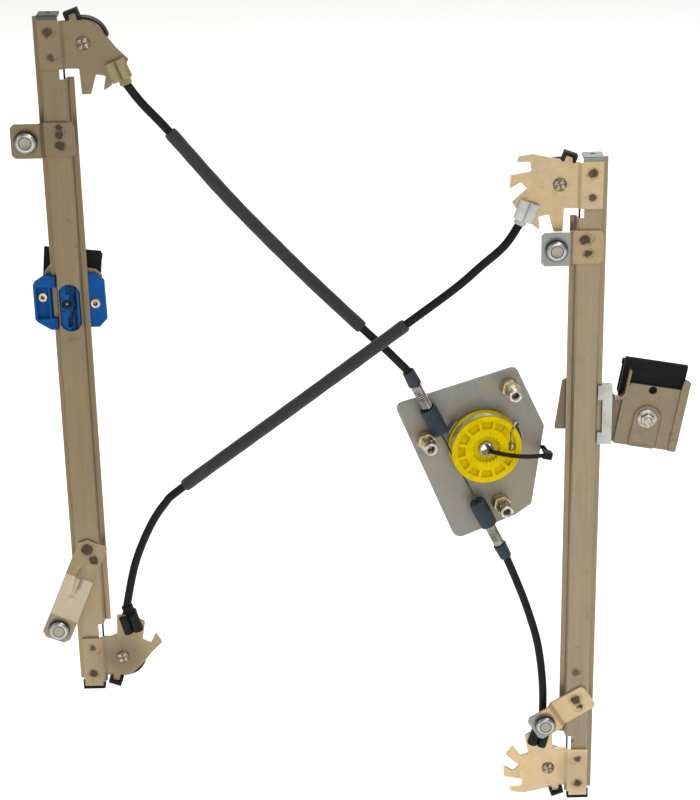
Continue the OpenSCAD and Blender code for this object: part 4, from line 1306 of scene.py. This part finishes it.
@dataclass
class Routing:
    """The three conduits with their sleeves, and the cable in the rails."""

    bench: Bench
    drive: Drive
    conduit_r: float = 3.0
    sleeve_r: float = 4.7
    fitting_r: float = 14.7
    fitting_turns: tuple[float, float] = (21, -15)
    fitting_y: float = 13
    reach: float = 37.5
    inner: float = 33.5
    sleeves: tuple[tuple[str, str, int, int], ...] = (
        ("sleeve_upper_left", "conduit_upper_left", 2, 5),
        ("sleeve_cross", "conduit_cross", 4, 6))
    rail_runs: tuple[Point, ...] = ((27.6, 65.5, -403.0), (380.4, -39.5, -508.0))
    rail_steps: int = 1300
    rope: Rope = Rope()

    def fit_end(self, right: bool, low: bool, reach: float) -> Point:
        """Gives a point on the line along which a conduit leaves its fitting.

        Args:
            right: Whether the fitting is on the right rail.
            low: Whether it is at the rail's foot.
            reach: How far the point is from the axle's level, in millimetres.

        Returns:
            The point in millimetres.
        """
        spec = Corner("", right, low)
        a = math.radians(self.fitting_turns[low])
        x = spec.axle_x + self.fitting_r * math.cos(a) + reach * math.sin(a)
        z = -spec.axle_drop[low] + self.fitting_r * math.sin(a) - reach * math.cos(a)
        return spec.at(x, self.fitting_y, z)

    def on_line(self, s: float) -> Point:
        """Gives a point on the cable's line past the drum."""
        return tuple((self.drive.base @ (self.drive.line_place(s) * MM)) / MM)

    def conduits(self) -> tuple[Conduit, ...]:
        """Repeats the three conduits of the drawing.

        Returns:
            The conduits, from the upper left one to the lower right one.
        """
        fit, line, far, near = self.fit_end, self.on_line, self.reach, self.inner
        return (
            Conduit("conduit_upper_left",
                    (fit(False, False, far), (79, 14, 22), (97, 15, 1), (137, 14, -48),
                     (184, 11, -99), (227, 7, -142), (244, 4, -158), line(82)),
                    fit(False, False, near), line(78)),
            Conduit("conduit_cross",
                    (fit(True, False, far), (328, 10, -84), (311, 4, -97), (293, -1, -111),
                     (258, -5, -136), (177, -2, -198), (96, 2, -260), (80, 5, -276),
                     (67, 9, -298), (55, 12, -328), fit(False, True, far)),
                    fit(True, False, near), fit(False, True, near)),
            Conduit("conduit_lower_right",
                    (line(-90), (340, 21, -351), (349, 20, -376), (357, 18, -405),
                     (361, 15, -438), fit(True, True, far)),
                    line(-86), fit(True, True, near)))

    def tubes(self) -> None:
        """Builds the conduits, and the foam sleeves round two of them."""
        conduits = {conduit.node: conduit for conduit in self.conduits()}
        for node, conduit in conduits.items():
            self.bench.place(swept(stations(conduit.line), self.conduit_r, 24), f"{node}_tube",
                             node, self.bench.palette.get("conduit_black"))
        for node, inside, first, last in self.sleeves:
            line = conduits[inside].piece(first, last)
            total = sum((b - a).length for a, b in pairwise(line))

            def swell(run: float, whole: float = total) -> float:
                """Tucks the sleeve's ends in and lets its middle sway a little.

                Args:
                    run: The distance along the sleeve in metres.
                    whole: The sleeve's length in metres.

                Returns:
                    The scale of the ring there.
                """
                end = min(run, whole - run) / MM
                tuck = 1 - 0.12 * math.exp(-end / 0.9)
                return tuck * (1 + 0.012 * math.sin(run * 310) + 0.009 * math.sin(run * 127 + 1))

            self.bench.place(swept(stations(line, swell=swell), self.sleeve_r, 28),
                             f"{node}_foam", node, self.bench.palette.get("foam_grey"))

    def cables(self) -> None:
        """Builds the twisted cable in the two rails."""
        parts = []
        for x, top, low in self.rail_runs:
            line = [Vector((x, 13, top + (low - top) * i / self.rail_steps)) * MM
                    for i in range(self.rail_steps + 1)]
            parts.append(self.rope.along(line))
        self.bench.place(merged(parts), "rail_cable_runs", "rail_cables",
                         self.bench.palette.get("cable_steel"))

    def build(self) -> None:
        """Builds and dresses every piece."""
        self.tubes()
        self.cables()


@dataclass
class LeftCarrier:
    """The blue slider with its glass clamp."""

    bench: Bench
    at: Point = (21, 0, -121)
    rope: Rope = Rope(0.58, 0.007)
    runs: tuple[tuple[Point, ...], ...] = (
        ((-0.35, 9.75, -13), (1.2, 9.75, -8), (3, 9.75, -1), (4.0, 9.7, 6), (3.6, 9.6, 12.5),
         (2.1, 9.5, 18.4)),
        ((-1.6, 8.75, 17.6), (0.4, 8.75, 11.5), (2.4, 8.7, 4.5), (3.6, 8.7, -4),
         (4.1, 8.75, -12), (4.1, 8.9, -18.4)))
    nipple: Profile = (
        (0, -1.6), (0.7, -1.6), (0.95, -1.3), (0.95, 1.3), (0.7, 1.6), (0, 1.6))
    rivet_holes: tuple[tuple[float, float], ...] = ((-20, 3.5), (17, -2))

    def cable_ends(self) -> None:
        """Lays the two crossing cable ends in the slider and seats their nipple."""
        x, _, z = self.at
        parts = [self.rope.along(smooth_line([(x + a, b, z + c) for a, b, c in run], 0.35))
                 for run in self.runs]
        place = Matrix.Translation(Vector((x - 0.5, 9.75, z - 14.8)) * MM)
        parts.append(turned(self.nipple, place, 20))
        self.bench.place(merged(parts), "crossed_cable_ends", "cable_ends_left",
                         self.bench.palette.get("dark_cable"))

    def build(self) -> None:
        """Builds and dresses every piece."""
        self.bench.soften("slider_left", 0.2)
        x, _, z = self.at
        # The rivets' bores are darkened with painted shade.
        bore_shade = tuple(Ring((x + dx, 15.9, z + dz), 2.1, 0.5, (0.03, 0.024, 0.018))
                      for dx, dz in self.rivet_holes)
        rivets = BrightMetal("rivets_shaded_bores", (0.66, 0.58, 0.46), (0.5, 0.42, 0.3), 0.26,
                             rings=bore_shade)
        self.bench.soften("slider_rivets_left", 0.15, rivets.build())
        for node in ("clamp_front_left", "clamp_rear_left"):
            self.bench.soften(node, 0.3, self.bench.palette.sheet(node, lift=1.1))
        self.bench.soften("clamp_rubber_left", 0.4)
        # A painted highlight in the middle of the black screw head.
        glint = Ring((x - 2.4, 8.4, z), 1.5, 0.9, (0.42, 0.40, 0.34))
        screw = BrightMetal("black_screw", (0.03, 0.028, 0.024), (0.012, 0.011, 0.009), 0.36,
                            rings=(glint,))
        self.bench.soften("clamp_screw_left", 0.2, screw.build())
        self.cable_ends()


@dataclass
class RightCarrier:
    """The steel carrier with its white shoes and its tilted glass clamp."""

    bench: Bench
    at: Point = (433.5, 0, -219.5)
    front: float = 15.5
    rear: float = 31.2

    def fastening(self) -> None:
        """Builds the clamp's stud with its thread and the flange nut."""
        axis = facing(self.at, BACK)
        back, y = self.rear, self.front
        stud = turned([(0, 8.5), (2.3, 8.5), (2.75, 8.95), (2.75, back), (5.7, back),
                       (6, back + 0.4), (5.6, back + 1.4), (4.2, back + 2), (0, back + 2)], axis)
        ridge = swept(stations(helix(2.78, 9.2, back - 1, 22, axis, 24)), 0.24, 6)
        self.bench.place(merged([stud, ridge]), "clamp_stud_threaded", "clamp_stud_right",
                         self.bench.palette.get("fastener_zinc"), smooth=32)
        flange = turned([(3.05, y - 5.8), (3.6, y - 6.1), (4.2, y - 6.1), (4.4, y - 5.9),
                         (4.4, y - 2.0), (5.2, y - 1.9), (6.9, y - 0.9), (7.1, y - 0.5),
                         (7.0, y - 0.05), (3.05, y - 0.05), (3.05, y - 5.8)], axis)
        body = hexagon(5.5, y - 5.7, y - 1.7, axis, 0.5, 3)
        self.bench.place(merged([flange, body]), "flange_nut", "clamp_nut_right",
                         self.bench.palette.get("fastener_zinc"), smooth=32)

    def build(self) -> None:
        """Builds and dresses every piece."""
        sheet = self.bench.palette.sheet
        # The lifts paint light and shade into these sheets; the carrier plate's low lift is
        # painted shade, as it lies in shade behind the rail.
        for node, lift in (("carrier_plate_right", 0.62), ("clamp_front_right", 0.86),
                           ("clamp_rear_right", 0.8)):
            self.bench.soften(node, 0.22, sheet(node, lift=lift, tones=RAIL_SHEET))
        self.bench.soften("slide_shoes_right", 0.18)
        self.bench.soften("cable_anchor_right", 0.4)
        self.bench.soften("carrier_rivets_right", 0.2)
        self.bench.soften("clamp_rubber_right", 0.4)
        self.fastening()


# The studio


@dataclass(frozen=True)
class Lamp:
    """A soft square light, with its side in metres and its power in watts."""

    name: str
    at: Point
    size: float
    power: float
    colour: Colour = (1, 1, 1)


@dataclass
class Studio:
    """The camera at the photograph's angle, a plain pale floor and soft light."""

    target: Point = (0.2176, 0.0065, -0.197)
    eye: Point = (0.2176, -1.3954, 0.3694)
    right: Point = (0.99982, -0.00719, -0.01780)
    lens: float = 94.5
    sensor: float = 36
    clip: tuple[float, float] = (0.05, 60)
    floor_size: float = 16.0
    floor_gap: float = 0.02
    aim: Point = (0.22, 0, -0.2)
    lamps: tuple[Lamp, ...] = (
        Lamp("key", (1.25, -1.5, 1.9), 1.1, 22.5, (1, 0.985, 0.96)),
        Lamp("front", (0.45, -2.7, 0.95), 1.5, 12.8),
        Lamp("fill", (-1.7, -1.3, 0.7), 1.2, 5.3, (0.97, 0.985, 1)),
        Lamp("rear", (0.6, 1.9, 1.5), 1.6, 26))
    sky: Colour = (1.0, 0.985, 0.96)
    sky_strength: float = 0.4
    floor_glow: float = 0.47

    def camera(self) -> None:
        """Places the camera."""
        data = bpy.data.cameras.new("camera")
        data.lens = self.lens
        data.sensor_width = self.sensor
        data.clip_start, data.clip_end = self.clip
        rig = bpy.data.objects.new("camera", data)
        bpy.context.scene.collection.objects.link(rig)
        back = (Vector(self.eye) - Vector(self.target)).normalized()
        side = Vector(self.right)
        side = (side - back * side.dot(back)).normalized()
        turn = Matrix((side, back.cross(side), back)).transposed().to_4x4()
        rig.matrix_world = Matrix.Translation(self.eye) @ turn
        bpy.context.scene.camera = rig

    def floor(self, height: float) -> None:
        """Lays a pale floor.

        Args:
            height: Its height in metres.
        """
        bm = bmesh.new()
        bmesh.ops.create_grid(bm, x_segments=8, y_segments=8, size=self.floor_size / 2)
        bmesh.ops.translate(bm, verts=bm.verts, vec=(0.2, 0, height))
        mesh = bpy.data.meshes.new("studio_floor")
        bm.to_mesh(mesh)
        bm.free()
        plane = bpy.data.objects.new("studio_floor", mesh)
        bpy.context.scene.collection.objects.link(plane)
        shader = Shader("pale_floor", {"Roughness": 0.9, "Specular IOR Level": 0.1,
                                       "Emission Color": (1, 1, 1, 1),
                                       "Emission Strength": self.floor_glow})
        mottled = shader.noise(3, 3)
        shader.set(base_color=shader.mix((0.93, 0.93, 0.925), (0.96, 0.96, 0.955), mottled))
        mesh.materials.append(shader.material)
        plane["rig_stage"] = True

    def light(self, lamp: Lamp) -> None:
        """Hangs a lamp and points it at the object.

        Args:
            lamp: The lamp's place, size, power and tint.
        """
        data = bpy.data.lights.new(lamp.name, "AREA")
        data.size = lamp.size
        data.energy = lamp.power
        data.color = lamp.colour
        holder = bpy.data.objects.new(lamp.name, data)
        bpy.context.scene.collection.objects.link(holder)
        holder.location = lamp.at
        turn = (Vector(self.aim) - Vector(lamp.at)).to_track_quat("-Z", "Y")
        holder.rotation_euler = turn.to_euler()

    def build(self, lowest: float) -> None:
        """Sets everything up.

        Args:
            lowest: The object's lowest point in metres.
        """
        self.camera()
        self.floor(lowest - self.floor_gap)
        for lamp in self.lamps:
            self.light(lamp)
        world = bpy.data.worlds.new("soft_sky")
        world.use_nodes = True
        sky = world.node_tree.nodes["Background"]
        sky.inputs["Color"].default_value = (*self.sky, 1)
        sky.inputs["Strength"].default_value = self.sky_strength
        bpy.context.scene.world = world
        bpy.context.scene.view_settings.view_transform = "Standard"


def main() -> None:
    """Builds the studio and the sub-assemblies in order."""
    logging.basicConfig(level=logging.INFO, format="%(name)s: %(message)s")
    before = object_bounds()
    Studio().build(before[0].z)
    bench = Bench(frame, Palette())
    drive = Drive(bench)
    for assembly in (Rails(bench), Mounts(bench), drive, Routing(bench, drive),
                     LeftCarrier(bench), RightCarrier(bench)):
        assembly.build()
        LOG.info("%s built", type(assembly).__name__)


if __name__ == "__main__":
    main()
